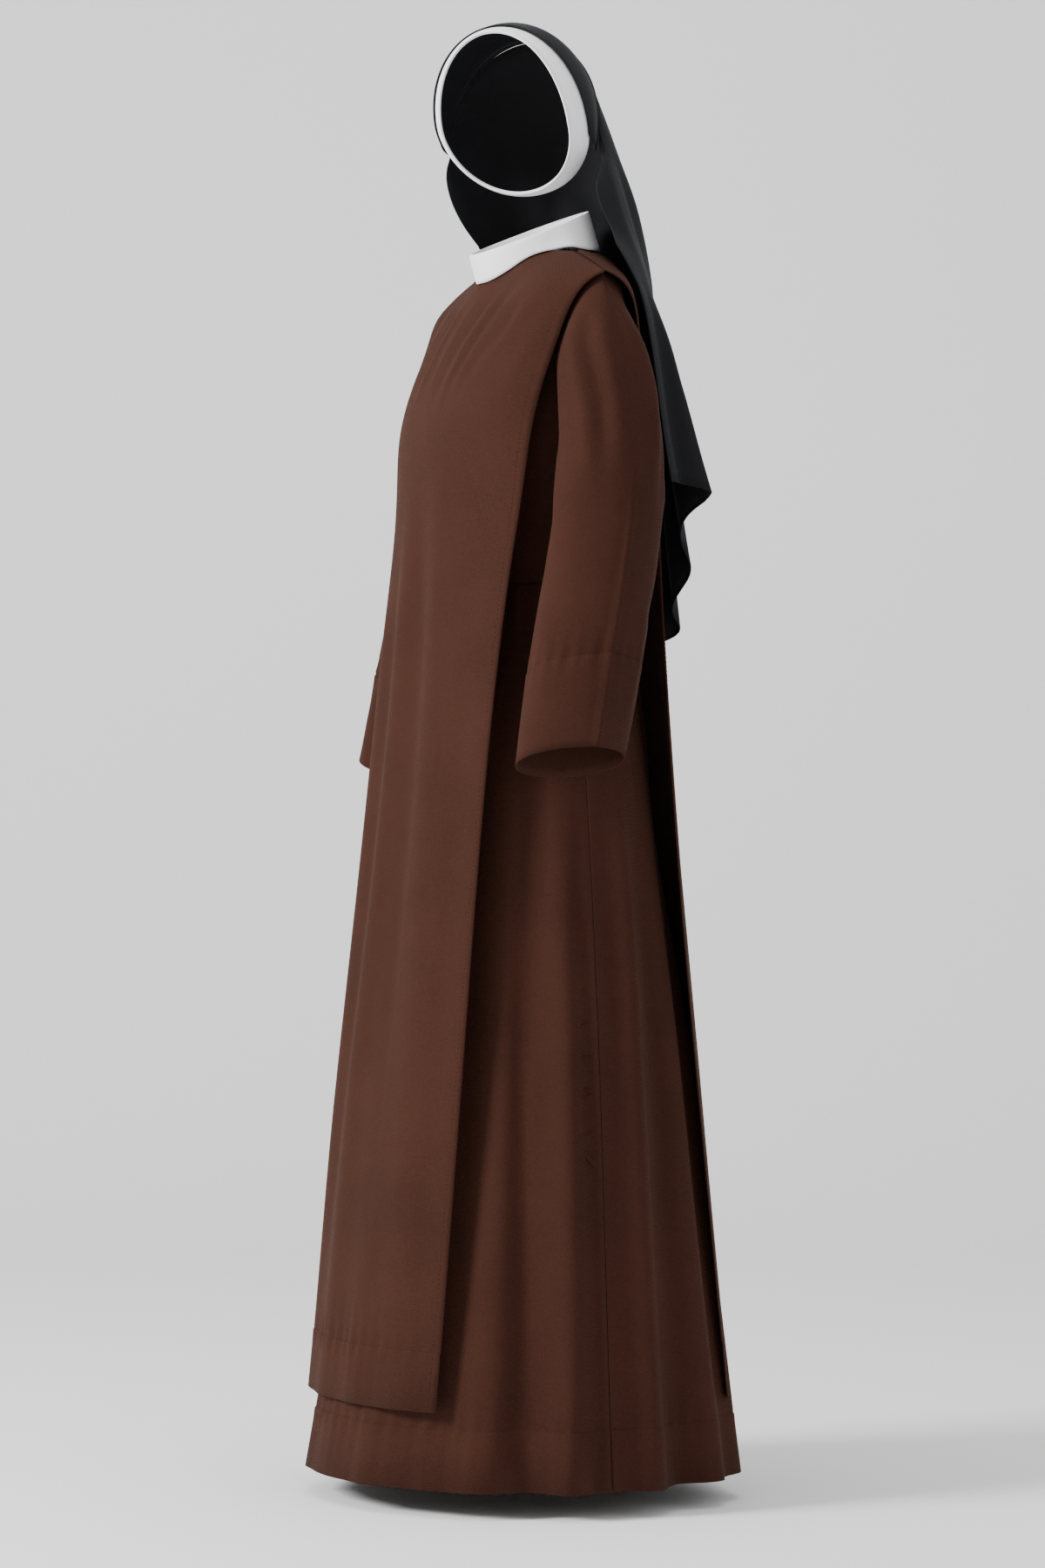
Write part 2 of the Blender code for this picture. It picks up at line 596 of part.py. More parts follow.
def collar_seam(angle):
    """The foot of the stand, just inside the bodice's neckline."""
    turn = math.radians(angle)
    face = "front" if math.cos(turn) > 0 else "back"
    x = NECK_HALF_WIDTH * math.sin(turn)
    y = neckline_y(x, face)
    level = level_at_y(x, y, face, bodice_depth)
    _, _, height = torso_point(level, x, face, bodice_depth)
    inward = Vector((-x, SHOULDER_SEAM_Y - y, 0)).normalized() * COLLAR_FOOT_INSET
    return Vector((x, y, height)) + inward


def collar_point(angle, share):
    """share 0 is the fall's lower edge, the middle the fold on top, 1 the seam at the neckline."""
    outer_top = collar_top(angle)
    inner_top = collar_top(angle, 2 * COLLAR_FOLD_RADIUS)
    if share <= COLLAR_FOLD_FROM:
        place = collar_base(angle).lerp(outer_top, share / COLLAR_FOLD_FROM)
    elif share >= COLLAR_FOLD_TO:
        down = (share - COLLAR_FOLD_TO) / (1 - COLLAR_FOLD_TO)
        place = inner_top.lerp(collar_seam(angle), down)
        turn = math.radians(angle)
        hollow = COLLAR_HOLLOW * 4 * down * (1 - down)
        place += Vector((-math.sin(turn), math.cos(turn), 0)) * hollow
    else:
        swing = math.pi * (share - COLLAR_FOLD_FROM) / (COLLAR_FOLD_TO - COLLAR_FOLD_FROM)
        place = (outer_top + inner_top) / 2
        place += (outer_top - inner_top) / 2 * math.cos(swing)
        place.z += COLLAR_FOLD_RADIUS * math.sin(swing)
    return from_floor(place.x, place.y, place.z)


def collar():
    shares = [0.0, 0.2, COLLAR_FOLD_FROM, 0.46, 0.54, COLLAR_FOLD_TO, 0.8, 1.0]
    start = -180 + COLLAR_OPENING / 2
    wall("collar", "white_cloth", COLLAR_CLOTH, collar_point, spaced(37, start, -start), shares)


def head_point(left, back, height):
    """From the turned frame of the head to the habit's own."""
    x = left * math.cos(HEAD_TURN) - back * math.sin(HEAD_TURN)
    y = left * math.sin(HEAD_TURN) + back * math.cos(HEAD_TURN)
    return from_floor(x, y + HEAD_Y, height)


def band_edge(edge, angle, grow=0.0):
    """angle 0 is the top of the head and 90 the ear on the wearer's left."""
    turn = math.radians(angle)
    reach = edge["up"] if math.cos(turn) > 0 else edge["down"]
    left = (edge["half_width"] + grow) * math.sin(turn)
    height = edge["middle"] + (reach + grow) * math.cos(turn)
    back = edge["start"] + edge["lean"] * (1 - math.cos(turn)) ** edge["power"]
    return Vector((left, back, height))


def band_point(angle, share):
    """share 0 is the edge under the veil and 1 the front rim."""
    front = band_edge(BAND_FRONT, angle)
    back = band_edge(BAND_BACK, angle)
    under = back + (back - front) * BAND_UNDER_VEIL
    under.x = back.x + (back.x - front.x) * BAND_UNDER_VEIL * BAND_NARROWING
    under.z = back.z + (back.z - front.z) * BAND_UNDER_VEIL * BAND_NARROWING
    place = under.lerp(front, share)
    crown = BAND_CROWN * 4 * share * (1 - share)
    place.x += crown * math.sin(math.radians(angle))
    place.z += crown * math.cos(math.radians(angle))
    return head_point(place.x, place.y, place.z)


def headband():
    angles = [-360 * i / 40 for i in range(40)]
    wall("headband", "white_cloth", BAND_CLOTH, band_point, angles, spaced(4), closed=True)


def crease_point(angle):
    turn = math.radians(angle)
    left = CREASE["half_width"] * math.sin(turn)
    back = CREASE["back"] + CREASE["top_back"] * max(math.cos(turn), 0.0)
    return Vector((left, back, CREASE["middle"] + CREASE["up"] * math.cos(turn)))


def crown_point(angle, share):
    """share 0 is the crease and 1 the edge on the headband."""
    rim = band_edge(BAND_BACK, angle, CROWN_LIFT)
    place = crease_point(angle).lerp(rim, share)
    bulge = CROWN_BULGE * 4 * share * (1 - share)
    place.x += CROWN_SIDE_BULGE * bulge * math.sin(math.radians(angle))
    place.z += bulge * max(math.cos(math.radians(angle)), 0.0)
    return head_point(place.x, place.y, place.z)


def veil_crown():
    angles = spaced(31, VEIL_EDGE_ANGLE, -VEIL_EDGE_ANGLE)
    shares = [CROWN_CREASE_GAP, 0.25, 0.5, 0.75, 1.0]
    wall("veil_crown", "veil_cloth", VEIL_CLOTH, crown_point, angles, shares)


def veil_swing(ring, across):
    """The angle from the ring's front, at a share of the way from the left edge to the right."""
    return math.radians(between(ring["left_edge"], 360 - ring["right_edge"], across))


def veil_ring_point(ring, across):
    """across runs from 0 at the edge by the wearer's left to 1 at the far edge."""
    turn = math.radians(ring["turn"])
    swing = veil_swing(ring, across)
    left = ring["half_width"] * math.sin(swing)
    back = -ring["depth"] * math.cos(swing)
    x = ring["x"] + left * math.cos(turn) - back * math.sin(turn)
    y = ring["y"] + left * math.sin(turn) + back * math.cos(turn)
    arch = math.sin(math.pi * across) ** ring["power"]
    return from_floor(x, y, between(ring["edge_height"], ring["back_height"], arch))


PROFILE_LEVELS = {"front": spaced(14, 0.7, 1.0), "back": spaced(40, 1.0, 0.05)}
PROFILE_HALF_WIDTH = 0.182


def scapular_profile(x):
    """The scapular's outer line in a slice at x, from the chest over the shoulder to the waist."""
    inside = min(abs(x), PROFILE_HALF_WIDTH)
    line = []
    for face, levels in PROFILE_LEVELS.items():
        for level in levels:
            _, y, height = torso_point(level, inside, face, scapular_depth, SCAPULAR_LIFT)
            line.append(Vector((x, y, height - SHOULDER_HEIGHT)))
    return line


def rest_on_scapular(place):
    """Moves a point of the veil out to where it lies on the shoulders and the back."""
    line = scapular_profile(place.x)
    ridge = max(line, key=lambda p: p.z)
    nearest = min(range(1, len(line) - 1), key=lambda i: (line[i] - place).length)
    along = line[nearest + 1] - line[nearest - 1]
    outward = Vector((0, -along.z, along.y)).normalized()
    stand = (place - line[nearest]).dot(outward)
    off_ridge = (line[nearest] - ridge).length
    gap = VEIL_REST_GAP + VEIL_RIDGE_GAP * bump(off_ridge, VEIL_RIDGE_REACH)
    short = VEIL_CLOTH + gap - stand
    if short > 0:
        place = place + outward * short
    return place


def veil_fall_point(across, share):
    """share 0 is the hem and 1 the crease."""
    angle = between(VEIL_EDGE_ANGLE, -VEIL_EDGE_ANGLE, across)
    crease = crease_point(angle)
    stations = [head_point(crease.x, crease.y, crease.z)]
    stations += [veil_ring_point(ring, across) for ring in VEIL_RINGS]
    rows = [{"place": i, "x": p.x, "y": p.y, "z": p.z} for i, p in enumerate(stations)]
    corner = VEIL_CORNER_GAP * abs(2 * across - 1) ** VEIL_CORNER_POWER
    place = max((1 - share) * (len(stations) - 1), corner)
    at = Vector([read_table(rows, "place", axis, place) for axis in "xyz"])
    swing = veil_swing(VEIL_RINGS[-1], across) + math.radians(VEIL_RINGS[-1]["turn"])
    outward = Vector((math.sin(swing), -math.cos(swing), 0))
    spread = ease((place - VEIL_FOLDS_FROM) / (VEIL_FOLDS_FULL - VEIL_FOLDS_FROM))
    stand = 0.0
    for fold in VEIL_FOLDS:
        stand += fold["depth"] * fold_wave(across - fold["across"], fold["width"])
    at += outward * stand * spread
    return rest_on_scapular(at)


def veil_fall():
    shares = [0.0, 0.09, 0.19, 0.28, 0.34, 0.39, 0.44, 0.49, 0.58, 0.67, 0.76, 0.86, 0.995]
    wall("veil_fall", "veil_cloth", VEIL_CLOTH, veil_fall_point, spaced(49), shares)


clear_scene()
collection = bpy.data.collections.new("nun_habit")
bpy.context.scene.collection.children.link(collection)
bodice("front")
bodice("back")
skirt("skirt_front", -SIDE_SEAM, SIDE_SEAM)
skirt("skirt_back", SIDE_SEAM, 360 - SIDE_SEAM)
sleeve("sleeve_left", 1)
sleeve("sleeve_right", -1)
scapular("front")
scapular("back")
collar()
headband()
veil_crown()
veil_fall()
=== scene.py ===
"""The nun habit's looks: thin cloth shells with folds, creases, hems, stitches and woven cloth.

Metres, in the part's own frame: the origin is the middle of the shoulder line, the body faces
-Y and the wearer's left is +X. Heights are named above the floor.
"""
import math

import bmesh
import bpy
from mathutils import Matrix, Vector
from mathutils.bvhtree import BVHTree


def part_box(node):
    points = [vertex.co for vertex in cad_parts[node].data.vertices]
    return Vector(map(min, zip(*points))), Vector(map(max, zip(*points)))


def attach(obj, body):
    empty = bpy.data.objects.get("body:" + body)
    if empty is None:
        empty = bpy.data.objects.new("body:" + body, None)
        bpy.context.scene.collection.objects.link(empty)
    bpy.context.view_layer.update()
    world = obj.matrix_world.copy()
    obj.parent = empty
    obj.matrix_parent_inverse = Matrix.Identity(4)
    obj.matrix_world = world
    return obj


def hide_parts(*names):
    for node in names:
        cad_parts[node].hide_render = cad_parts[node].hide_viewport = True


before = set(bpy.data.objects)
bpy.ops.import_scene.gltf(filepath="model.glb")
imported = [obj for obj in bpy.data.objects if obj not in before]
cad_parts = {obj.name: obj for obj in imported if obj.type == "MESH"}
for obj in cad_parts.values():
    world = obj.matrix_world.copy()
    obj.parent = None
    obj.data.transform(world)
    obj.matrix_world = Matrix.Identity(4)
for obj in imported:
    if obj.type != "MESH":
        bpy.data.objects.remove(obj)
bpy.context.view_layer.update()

# Places in the part
SHOULDER_HEIGHT = 1.400
WAIST_HEIGHT = 1.035
TUNIC_HEM_HEIGHT = 0.030
SCAPULAR_HEM_HEIGHT = 0.117
HEAD_TURN = math.radians(43)
HEAD_Y = -0.022

# Shells: points this near are one, faces this flat are joined, and a sharper edge is a rim
WELD = 0.00005
FLAT_JOIN = math.radians(50)
RIM_ANGLE = math.radians(68)
SHARP_SHADING = math.radians(60)
SHELL_LEVELS = 2
ON_PLANE = 1e-6

# Hems: how far the stitch line runs above the edge, and the turned-up cloth's step
TUNIC_HEM = 0.068
SCAPULAR_HEM = 0.066
CUFF_HEM = 0.098
HEM_STEP = 0.0005
HEM_GROOVE = 0.0011
HEM_GROOVE_WIDTH = 0.0028

# Stitches
STITCH_LENGTH = 0.0030
STITCH_SPACING = 0.0052
STITCH_RADIUS = 0.00032
STITCH_SIDES = 4
STITCH_LIFT = 0.00015
SAME_POINT = 1e-9
FAR_OUT = 0.5
SKIRT_STITCH_POINTS = 240
SKIRT_STITCH_ARCS = {"skirt_front": (-88, 88), "skirt_back": (89.5, 270.5)}
PANEL_HEM_POINTS = 120
PANEL_EDGE_POINTS = 260
PANEL_EDGE_FROM_HEM = 0.002
PANEL_EDGE_FROM_TOP = 0.05
PANEL_TOP_HEIGHT = 1.38
SCAPULAR_EDGE_INSET = 0.0085
PANEL_HALF_WIDTHS = {
    "front": {"hem": 0.190, "waist": 0.181, "top": 0.183, "stitched": 0.184},
    "back": {"hem": 0.176, "waist": 0.170, "top": 0.183, "stitched": 0.170},
}
CUFF_STITCH_POINTS = 120
CUFF_REACH = 0.2
COLLAR_STITCHES = {
    "points": 180, "end": 176, "reach": 0.2, "front": -0.014, "back": 0.030,
}

# Skirt folds by angle from the front toward the wearer's left, beyond those of the solids.
# Angle and width in degrees, lean in degrees of drift down to the hem
SKIRT_FOLDS = [
    {"angle": 18, "lean": 3, "width": 5.0, "depth": 0.0040, "top": 0.70},
    {"angle": 41, "lean": 2, "width": 4.5, "depth": 0.0050, "top": 0.78},
    {"angle": 66, "lean": 1, "width": 4.0, "depth": -0.0090, "top": 0.93},
    {"angle": 77, "lean": 0, "width": 3.4, "depth": 0.0060, "top": 1.00},
    {"angle": 84.5, "lean": 0, "width": 2.4, "depth": -0.0060, "top": 0.86},
    {"angle": 88.7, "lean": 0, "width": 2.0, "depth": 0.0055, "top": 0.80},
    {"angle": 95, "lean": 0, "width": 3.4, "depth": -0.0110, "top": 0.90},
    {"angle": 102, "lean": 0, "width": 3.2, "depth": 0.0080, "top": 0.97},
    {"angle": 112, "lean": 1, "width": 5.0, "depth": -0.0130, "top": 0.93},
    {"angle": 124, "lean": 1, "width": 4.0, "depth": 0.0060, "top": 0.84},
    {"angle": 142, "lean": -2, "width": 9.0, "depth": 0.0180, "top": 0.78},
    {"angle": 167, "lean": 1, "width": 5.0, "depth": 0.0030, "top": 0.70},
    {"angle": 196, "lean": -2, "width": 5.0, "depth": 0.0030, "top": 0.66},
    {"angle": 219, "lean": 2, "width": 9.0, "depth": 0.0170, "top": 0.76},
    {"angle": 235, "lean": 0, "width": 4.0, "depth": 0.0050, "top": 0.87},
    {"angle": 248, "lean": -1, "width": 4.0, "depth": -0.0080, "top": 0.91},
    {"angle": 259, "lean": 0, "width": 3.3, "depth": 0.0065, "top": 0.98},
    {"angle": 266, "lean": 0, "width": 2.6, "depth": -0.0070, "top": 0.85},
    {"angle": 271.3, "lean": 0, "width": 2.1, "depth": 0.0050, "top": 0.78},
    {"angle": 276, "lean": 0, "width": 2.5, "depth": -0.0060, "top": 0.84},
    {"angle": 283, "lean": 0, "width": 3.5, "depth": 0.0055, "top": 0.96},
    {"angle": 294, "lean": -1, "width": 4.2, "depth": -0.0080, "top": 0.90},
    {"angle": 307, "lean": -1, "width": 4.0, "depth": 0.0050, "top": 0.82},
    {"angle": 320, "lean": -2, "width": 4.5, "depth": -0.0040, "top": 0.74},
    {"angle": 344, "lean": -2, "width": 5.0, "depth": 0.0035, "top": 0.66},
]
SKIRT_FOLD_ONSET = 2.2
FINE_GATHERS = {
    "count": 46, "depth": 0.0010, "length": 0.045, "onset": 0.008,
    "uneven": 0.5, "uneven_waves": 7, "drift": 40, "drift_waves": 5,
}
SKIRT_CREASES = [
    {"path": [(101, 0.99), (107, 0.86), (112, 0.74)], "width": 0.0090, "depth": 0.0050},
    {"path": [(76, 0.98), (70, 0.87), (67, 0.78)], "width": 0.0080, "depth": 0.0040},
    {"path": [(60, 0.97), (52, 0.88), (49, 0.80)], "width": 0.0080, "depth": 0.0030},
    {"path": [(259, 0.99), (253, 0.87), (249, 0.76)], "width": 0.0090, "depth": 0.0048},
    {"path": [(284, 0.98), (290, 0.86), (293, 0.77)], "width": 0.0080, "depth": 0.0040},
    {"path": [(131, 0.97), (138, 0.87), (142, 0.79)], "width": 0.0090, "depth": 0.0036},
    {"path": [(228, 0.98), (221, 0.88), (216, 0.79)], "width": 0.0090, "depth": 0.0036},
]

# Creases on the scapular's panels: (x, height) along each, half width and depth
FRONT_CREASES = [
    {"path": [(0.076, 1.376), (0.040, 1.305), (0.028, 1.225)], "width": 0.0098, "depth": 0.0023},
    {"path": [(0.058, 1.366), (0.020, 1.300), (0.006, 1.235)], "width": 0.0080, "depth": -0.0016},
    {"path": [(0.112, 1.380), (0.078, 1.312), (0.046, 1.236)], "width": 0.0092, "depth": 0.0018},
    {"path": [(0.096, 1.372), (0.062, 1.310), (0.038, 1.252)], "width": 0.0075, "depth": -0.0015},
    {"path": [(0.150, 1.372), (0.128, 1.310), (0.072, 1.250)], "width": 0.0098, "depth": 0.0021},
    {"path": [(0.136, 1.368), (0.108, 1.306), (0.064, 1.262)], "width": 0.0080, "depth": -0.0018},
    {"path": [(0.172, 1.366), (0.160, 1.296), (0.138, 1.220)], "width": 0.0086, "depth": 0.0015},
    {"path": [(0.024, 1.368), (-0.006, 1.310), (-0.018, 1.240)], "width": 0.0086, "depth": 0.0016},
    {"path": [(-0.014, 1.372), (-0.044, 1.306), (-0.058, 1.226)], "width": 0.0098,
     "depth": 0.0021},
    {"path": [(-0.032, 1.370), (-0.062, 1.308), (-0.074, 1.246)], "width": 0.0075,
     "depth": -0.0015},
    {"path": [(-0.064, 1.380), (-0.092, 1.316), (-0.106, 1.238)], "width": 0.0098,
     "depth": 0.0019},
    {"path": [(-0.100, 1.380), (-0.118, 1.322), (-0.126, 1.258)], "width": 0.0080,
     "depth": -0.0015},
    {"path": [(-0.132, 1.378), (-0.146, 1.320), (-0.148, 1.248)], "width": 0.0098,
     "depth": 0.0018},
    {"path": [(0.052, 1.215), (0.074, 0.960), (0.100, 0.560), (0.122, 0.130)], "width": 0.0260,
     "depth": 0.0046},
    {"path": [(0.014, 1.160), (0.030, 0.900), (0.052, 0.520), (0.066, 0.120)], "width": 0.0210,
     "depth": -0.0042},
    {"path": [(-0.018, 1.200), (-0.026, 0.900), (-0.034, 0.520), (-0.030, 0.130)],
     "width": 0.0240, "depth": 0.0038},
    {"path": [(-0.062, 1.120), (-0.074, 0.800), (-0.082, 0.420), (-0.086, 0.120)],
     "width": 0.0210, "depth": -0.0034},
    {"path": [(-0.098, 1.150), (-0.112, 0.820), (-0.124, 0.440), (-0.132, 0.125)],
     "width": 0.0240, "depth": 0.0036},
    {"path": [(0.128, 1.130), (0.140, 0.880), (0.152, 0.520), (0.158, 0.130)], "width": 0.0190,
     "depth": -0.0028},
    {"path": [(0.092, 1.060), (0.104, 1.010), (0.128, 0.972)], "width": 0.0080, "depth": 0.0012},
    {"path": [(-0.060, 1.060), (-0.082, 1.006), (-0.116, 0.966)], "width": 0.0080,
     "depth": 0.0012},
]
BACK_CREASES = [
    {"path": [(0.070, 1.360), (0.052, 1.290), (0.050, 1.200)], "width": 0.0090, "depth": 0.0022},
    {"path": [(-0.072, 1.362), (-0.050, 1.286), (-0.046, 1.190)], "width": 0.0090,
     "depth": 0.0022},
    {"path": [(0.136, 1.366), (0.116, 1.300), (0.104, 1.220)], "width": 0.0090, "depth": 0.0024},
    {"path": [(-0.134, 1.366), (-0.118, 1.296), (-0.108, 1.216)], "width": 0.0090,
     "depth": 0.0024},
    {"path": [(0.012, 1.330), (0.004, 1.240), (-0.010, 1.140)], "width": 0.0100, "depth": -0.0018},
    {"path": [(0.054, 1.180), (0.068, 0.880), (0.082, 0.480), (0.094, 0.130)], "width": 0.0240,
     "depth": 0.0036},
    {"path": [(-0.050, 1.170), (-0.056, 0.860), (-0.070, 0.440), (-0.078, 0.130)],
     "width": 0.0240, "depth": 0.0034},
    {"path": [(0.004, 1.120), (0.010, 0.820), (0.014, 0.460), (0.012, 0.120)], "width": 0.0210,
     "depth": -0.0030},
    {"path": [(-0.104, 1.100), (-0.116, 0.780), (-0.126, 0.440), (-0.134, 0.130)],
     "width": 0.0200, "depth": -0.0026},
    {"path": [(0.112, 1.120), (0.124, 0.820), (0.136, 0.480), (0.142, 0.130)], "width": 0.0200,
     "depth": -0.0026},
]
PANEL_LEAN = {"share": 0.35, "at": 0.18}

# Puckers beside the stitch lines
SKIRT_PUCKERS = {"spacing": 0.024, "depth": 0.0010, "reach": 0.013}
PANEL_PUCKERS = {"spacing": 0.021, "depth": 0.0010, "reach": 0.012}
CUFF_PUCKERS = {"spacing": 0.019, "depth": 0.0010, "reach": 0.012}
SECOND_PUCKER = {"share": 0.6, "spacing": 1.7}

# How far a crease acts past its ends, how wide it is looked for, and its fades at both ends
CREASE_PAST_END = 0.03
CREASE_WIDTHS = 3
CREASE_FADE_IN = 0.22
CREASE_FADE_OUT = 0.35

# Creases on the bodice where it shows beside the scapular, by (angle, height)
BODICE_CREASES = [
    {"path": [(70, 1.220), (76, 1.150), (80, 1.060)], "width": 0.0090, "depth": 0.0024},
    {"path": [(92, 1.205), (90, 1.130), (86, 1.050)], "width": 0.0090, "depth": -0.0018},
    {"path": [(108, 1.215), (104, 1.140), (100, 1.050)], "width": 0.0090, "depth": 0.0024},
    {"path": [(290, 1.220), (284, 1.150), (280, 1.060)], "width": 0.0090, "depth": 0.0024},
    {"path": [(268, 1.205), (270, 1.130), (274, 1.050)], "width": 0.0090, "depth": -0.0018},
    {"path": [(252, 1.215), (256, 1.140), (260, 1.050)], "width": 0.0090, "depth": 0.0024},
]

# The left sleeve's middle line, and creases by (angle, height): 0 is outward, 90 the back
SLEEVE_LINE = [
    {"height": 1.300, "x": 0.180, "y": 0.012},
    {"height": 1.225, "x": 0.209, "y": 0.014},
    {"height": 1.166, "x": 0.220, "y": 0.014},
    {"height": 1.087, "x": 0.2255, "y": 0.004},
    {"height": 0.995, "x": 0.2315, "y": -0.015},
    {"height": 0.912, "x": 0.240, "y": -0.0325},
    {"height": 0.834, "x": 0.248, "y": -0.049},
]
PRESSED_CREASE = {"angle": 8, "width": 4.2, "depth": 0.0042, "top": 1.18, "onset": 0.10}
SLEEVE_HEAD = {"from": 1.30, "end": 1.385, "fade": 0.06}
SLEEVE_CREASES = [
    {"path": [(-62, 1.345), (-52, 1.250), (-50, 1.120)], "width": 0.0100, "depth": 0.0036},
    {"path": [(-40, 1.350), (-32, 1.250), (-34, 1.130)], "width": 0.0090, "depth": -0.0030},
    {"path": [(-20, 1.355), (-12, 1.260), (-14, 1.150)], "width": 0.0095, "depth": 0.0032},
    {"path": [(10, 1.350), (20, 1.250), (24, 1.140)], "width": 0.0090, "depth": -0.0026},
    {"path": [(40, 1.345), (48, 1.240), (46, 1.110)], "width": 0.0100, "depth": 0.0032},
    {"path": [(80, 1.300), (72, 1.200), (66, 1.080)], "width": 0.0100, "depth": -0.0030},
    {"path": [(118, 1.220), (98, 1.150), (80, 1.100)], "width": 0.0095, "depth": 0.0034},
    {"path": [(-118, 1.200), (-92, 1.130), (-70, 1.080)], "width": 0.0095, "depth": 0.0034},
    {"path": [(-96, 1.060), (-74, 1.020), (-52, 1.000)], "width": 0.0085, "depth": -0.0022},
    {"path": [(-84, 1.030), (-70, 0.960), (-66, 0.880)], "width": 0.0100, "depth": 0.0028},
    {"path": [(104, 1.040), (78, 1.000), (56, 0.985)], "width": 0.0085, "depth": -0.0022},
    {"path": [(64, 1.020), (58, 0.930), (56, 0.860)], "width": 0.0095, "depth": 0.0024},
    {"path": [(170, 1.140), (176, 1.050), (180, 0.940)], "width": 0.0100, "depth": 0.0026},
    {"path": [(-150, 1.100), (-146, 1.000), (-148, 0.900)], "width": 0.0090, "depth": -0.0024},
]
CUFF_OUTER_HEIGHT = 0.851
CUFF_INNER_HEIGHT = 0.817
CUFF_OUTER_X = 0.292
CUFF_INNER_X = 0.204

# Veil folds by (angle from the front toward the wearer's left, height)
VEIL_MIDDLE = Vector((-0.006, 0.030, 0.0))
VEIL_CREASES = [
    {"path": [(122, 1.600), (118, 1.480), (120, 1.360)], "width": 0.0110, "depth": 0.0030},
    {"path": [(140, 1.560), (138, 1.440), (134, 1.300), (130, 1.180)], "width": 0.0100,
     "depth": -0.0040},
    {"path": [(152, 1.540), (152, 1.420), (150, 1.280), (148, 1.120)], "width": 0.0110,
     "depth": 0.0042},
    {"path": [(168, 1.500), (168, 1.380), (166, 1.240), (166, 1.040)], "width": 0.0100,
     "depth": -0.0036},
    {"path": [(184, 1.520), (184, 1.400), (182, 1.240), (182, 1.020)], "width": 0.0110,
     "depth": 0.0040},
    {"path": [(200, 1.500), (200, 1.380), (198, 1.240), (198, 1.050)], "width": 0.0100,
     "depth": -0.0036},
    {"path": [(216, 1.520), (214, 1.400), (213, 1.260), (212, 1.100)], "width": 0.0110,
     "depth": 0.0040},
    {"path": [(230, 1.500), (228, 1.400), (226, 1.300), (224, 1.160)], "width": 0.0100,
     "depth": -0.0034},
    {"path": [(244, 1.580), (244, 1.470), (240, 1.380)], "width": 0.0110, "depth": 0.0030},
]

# Soft dents of the collar, the headband's rim and the veil's rolled hem
COLLAR_Y = 0.011
COLLAR_DENTS = [
    {"angle": 84, "height": 1.428, "across": 16, "up": 0.014, "depth": -0.0022},
    {"angle": 28, "height": 1.392, "across": 20, "up": 0.012, "depth": 0.0012},
    {"angle": 262, "height": 1.430, "across": 18, "up": 0.015, "depth": -0.0016},
    {"angle": 176, "height": 1.446, "across": 14, "up": 0.016, "depth": 0.0012},
]
BAND_FRONT = {
    "half_width": 0.0815, "middle": 1.562, "up": 0.105, "down": 0.072,
    "start": -0.047, "lean": 0.0350, "power": 1.20,
}
BAND_RIM_RADIUS = 0.0013
BAND_RIM_POINTS = 120
BAND_RIM_INWARD = 0.985
BAND_RIM_FORWARD = 0.0002
VEIL_HEM_RADIUS = 0.0011
VEIL_HEM_STEP = 0.004
VEIL_HEM_SIDES = 6
LOOP_POINTS = 12
TUBE_SIDES = 8

# Side seams of the skirt, and the veil's crease
SEAM_STEP = 0.012
SEAM_OUTSIDE = 0.1
SEAM_DEPTH = 0.0020
SEAM_NEAR = 0.0015
SEAM_PAST_EDGE = 0.0003
SEAM_RADIUS = 0.0008
SEAM_FLATNESS = 5
SEAM_SIDES = 8
SEAM_FROM_HEM = 0.0015
SEAM_FROM_WAIST = 0.006
VEIL_CREASE = {
    "half_width": 0.0922, "middle": 1.562, "up": 0.1072, "back": 0.040, "top_back": 0.020,
    "end": 104, "radius": 0.0022, "points": 96,
}

# Cloth colours, linear, each with its lighter and darker thread
CLOTHS = {
    "habit": {
        "light": (0.058, 0.0215, 0.0138, 1.0), "dark": (0.025, 0.0090, 0.0058, 1.0),
        "weave": 900.0, "weave_depth": 0.00045, "rough": 0.84, "sheen": 0.05,
        "sheen_tint": (0.62, 0.36, 0.26, 1.0), "specular": 0.06,
    },
    "veil": {
        "light": (0.015, 0.015, 0.017, 1.0), "dark": (0.007, 0.007, 0.008, 1.0),
        "weave": 1200.0, "weave_depth": 0.00016, "rough": 0.80, "sheen": 0.08,
        "sheen_tint": (0.50, 0.52, 0.60, 1.0), "specular": 0.12,
    },
    "white": {
        "light": (0.92, 0.92, 0.93, 1.0), "dark": (0.84, 0.84, 0.86, 1.0),
        "weave": 1500.0, "weave_depth": 0.00010, "rough": 0.72, "sheen": 0.10,
        "sheen_tint": (1.0, 1.0, 1.0, 1.0), "specular": 0.25,
    },
}
WEAVE_BAND_RATIO = 6.0
WEAVE_WANDER = {"Distortion": 1.2, "Detail": 1.0, "Detail Scale": 2.0}
SLOW_FLECK = (9.0, 3.0)
FINE_FLECK = (300.0, 3.0)
TINT_SHARES = {"threads": 0.30, "grain": 0.45, "slow": 0.55, "less": 0.20}
ROUGH_SPREAD = 0.12
RELIEF_STRENGTH = 0.8
GRAIN_RELIEF = 0.8
SHEEN_ROUGHNESS = 0.45
NODE_CLOTH = {
    "bodice_front": "habit", "bodice_back": "habit", "skirt_front": "habit",
    "skirt_back": "habit", "sleeve_left": "habit", "sleeve_right": "habit",
    "scapular_front": "habit", "scapular_back": "habit", "collar": "white",
    "headband": "white", "veil_crown": "veil", "veil_fall": "veil",
}

# Camera, as the photo was taken: level, and square on to the habit from its left front
CAMERA_AZIMUTH = math.radians(68)
CAMERA_DISTANCE = 6.0
CAMERA_HEIGHT = 0.81
CAMERA_ASIDE = -0.005
CAMERA_LENS = 120
SENSOR = 36

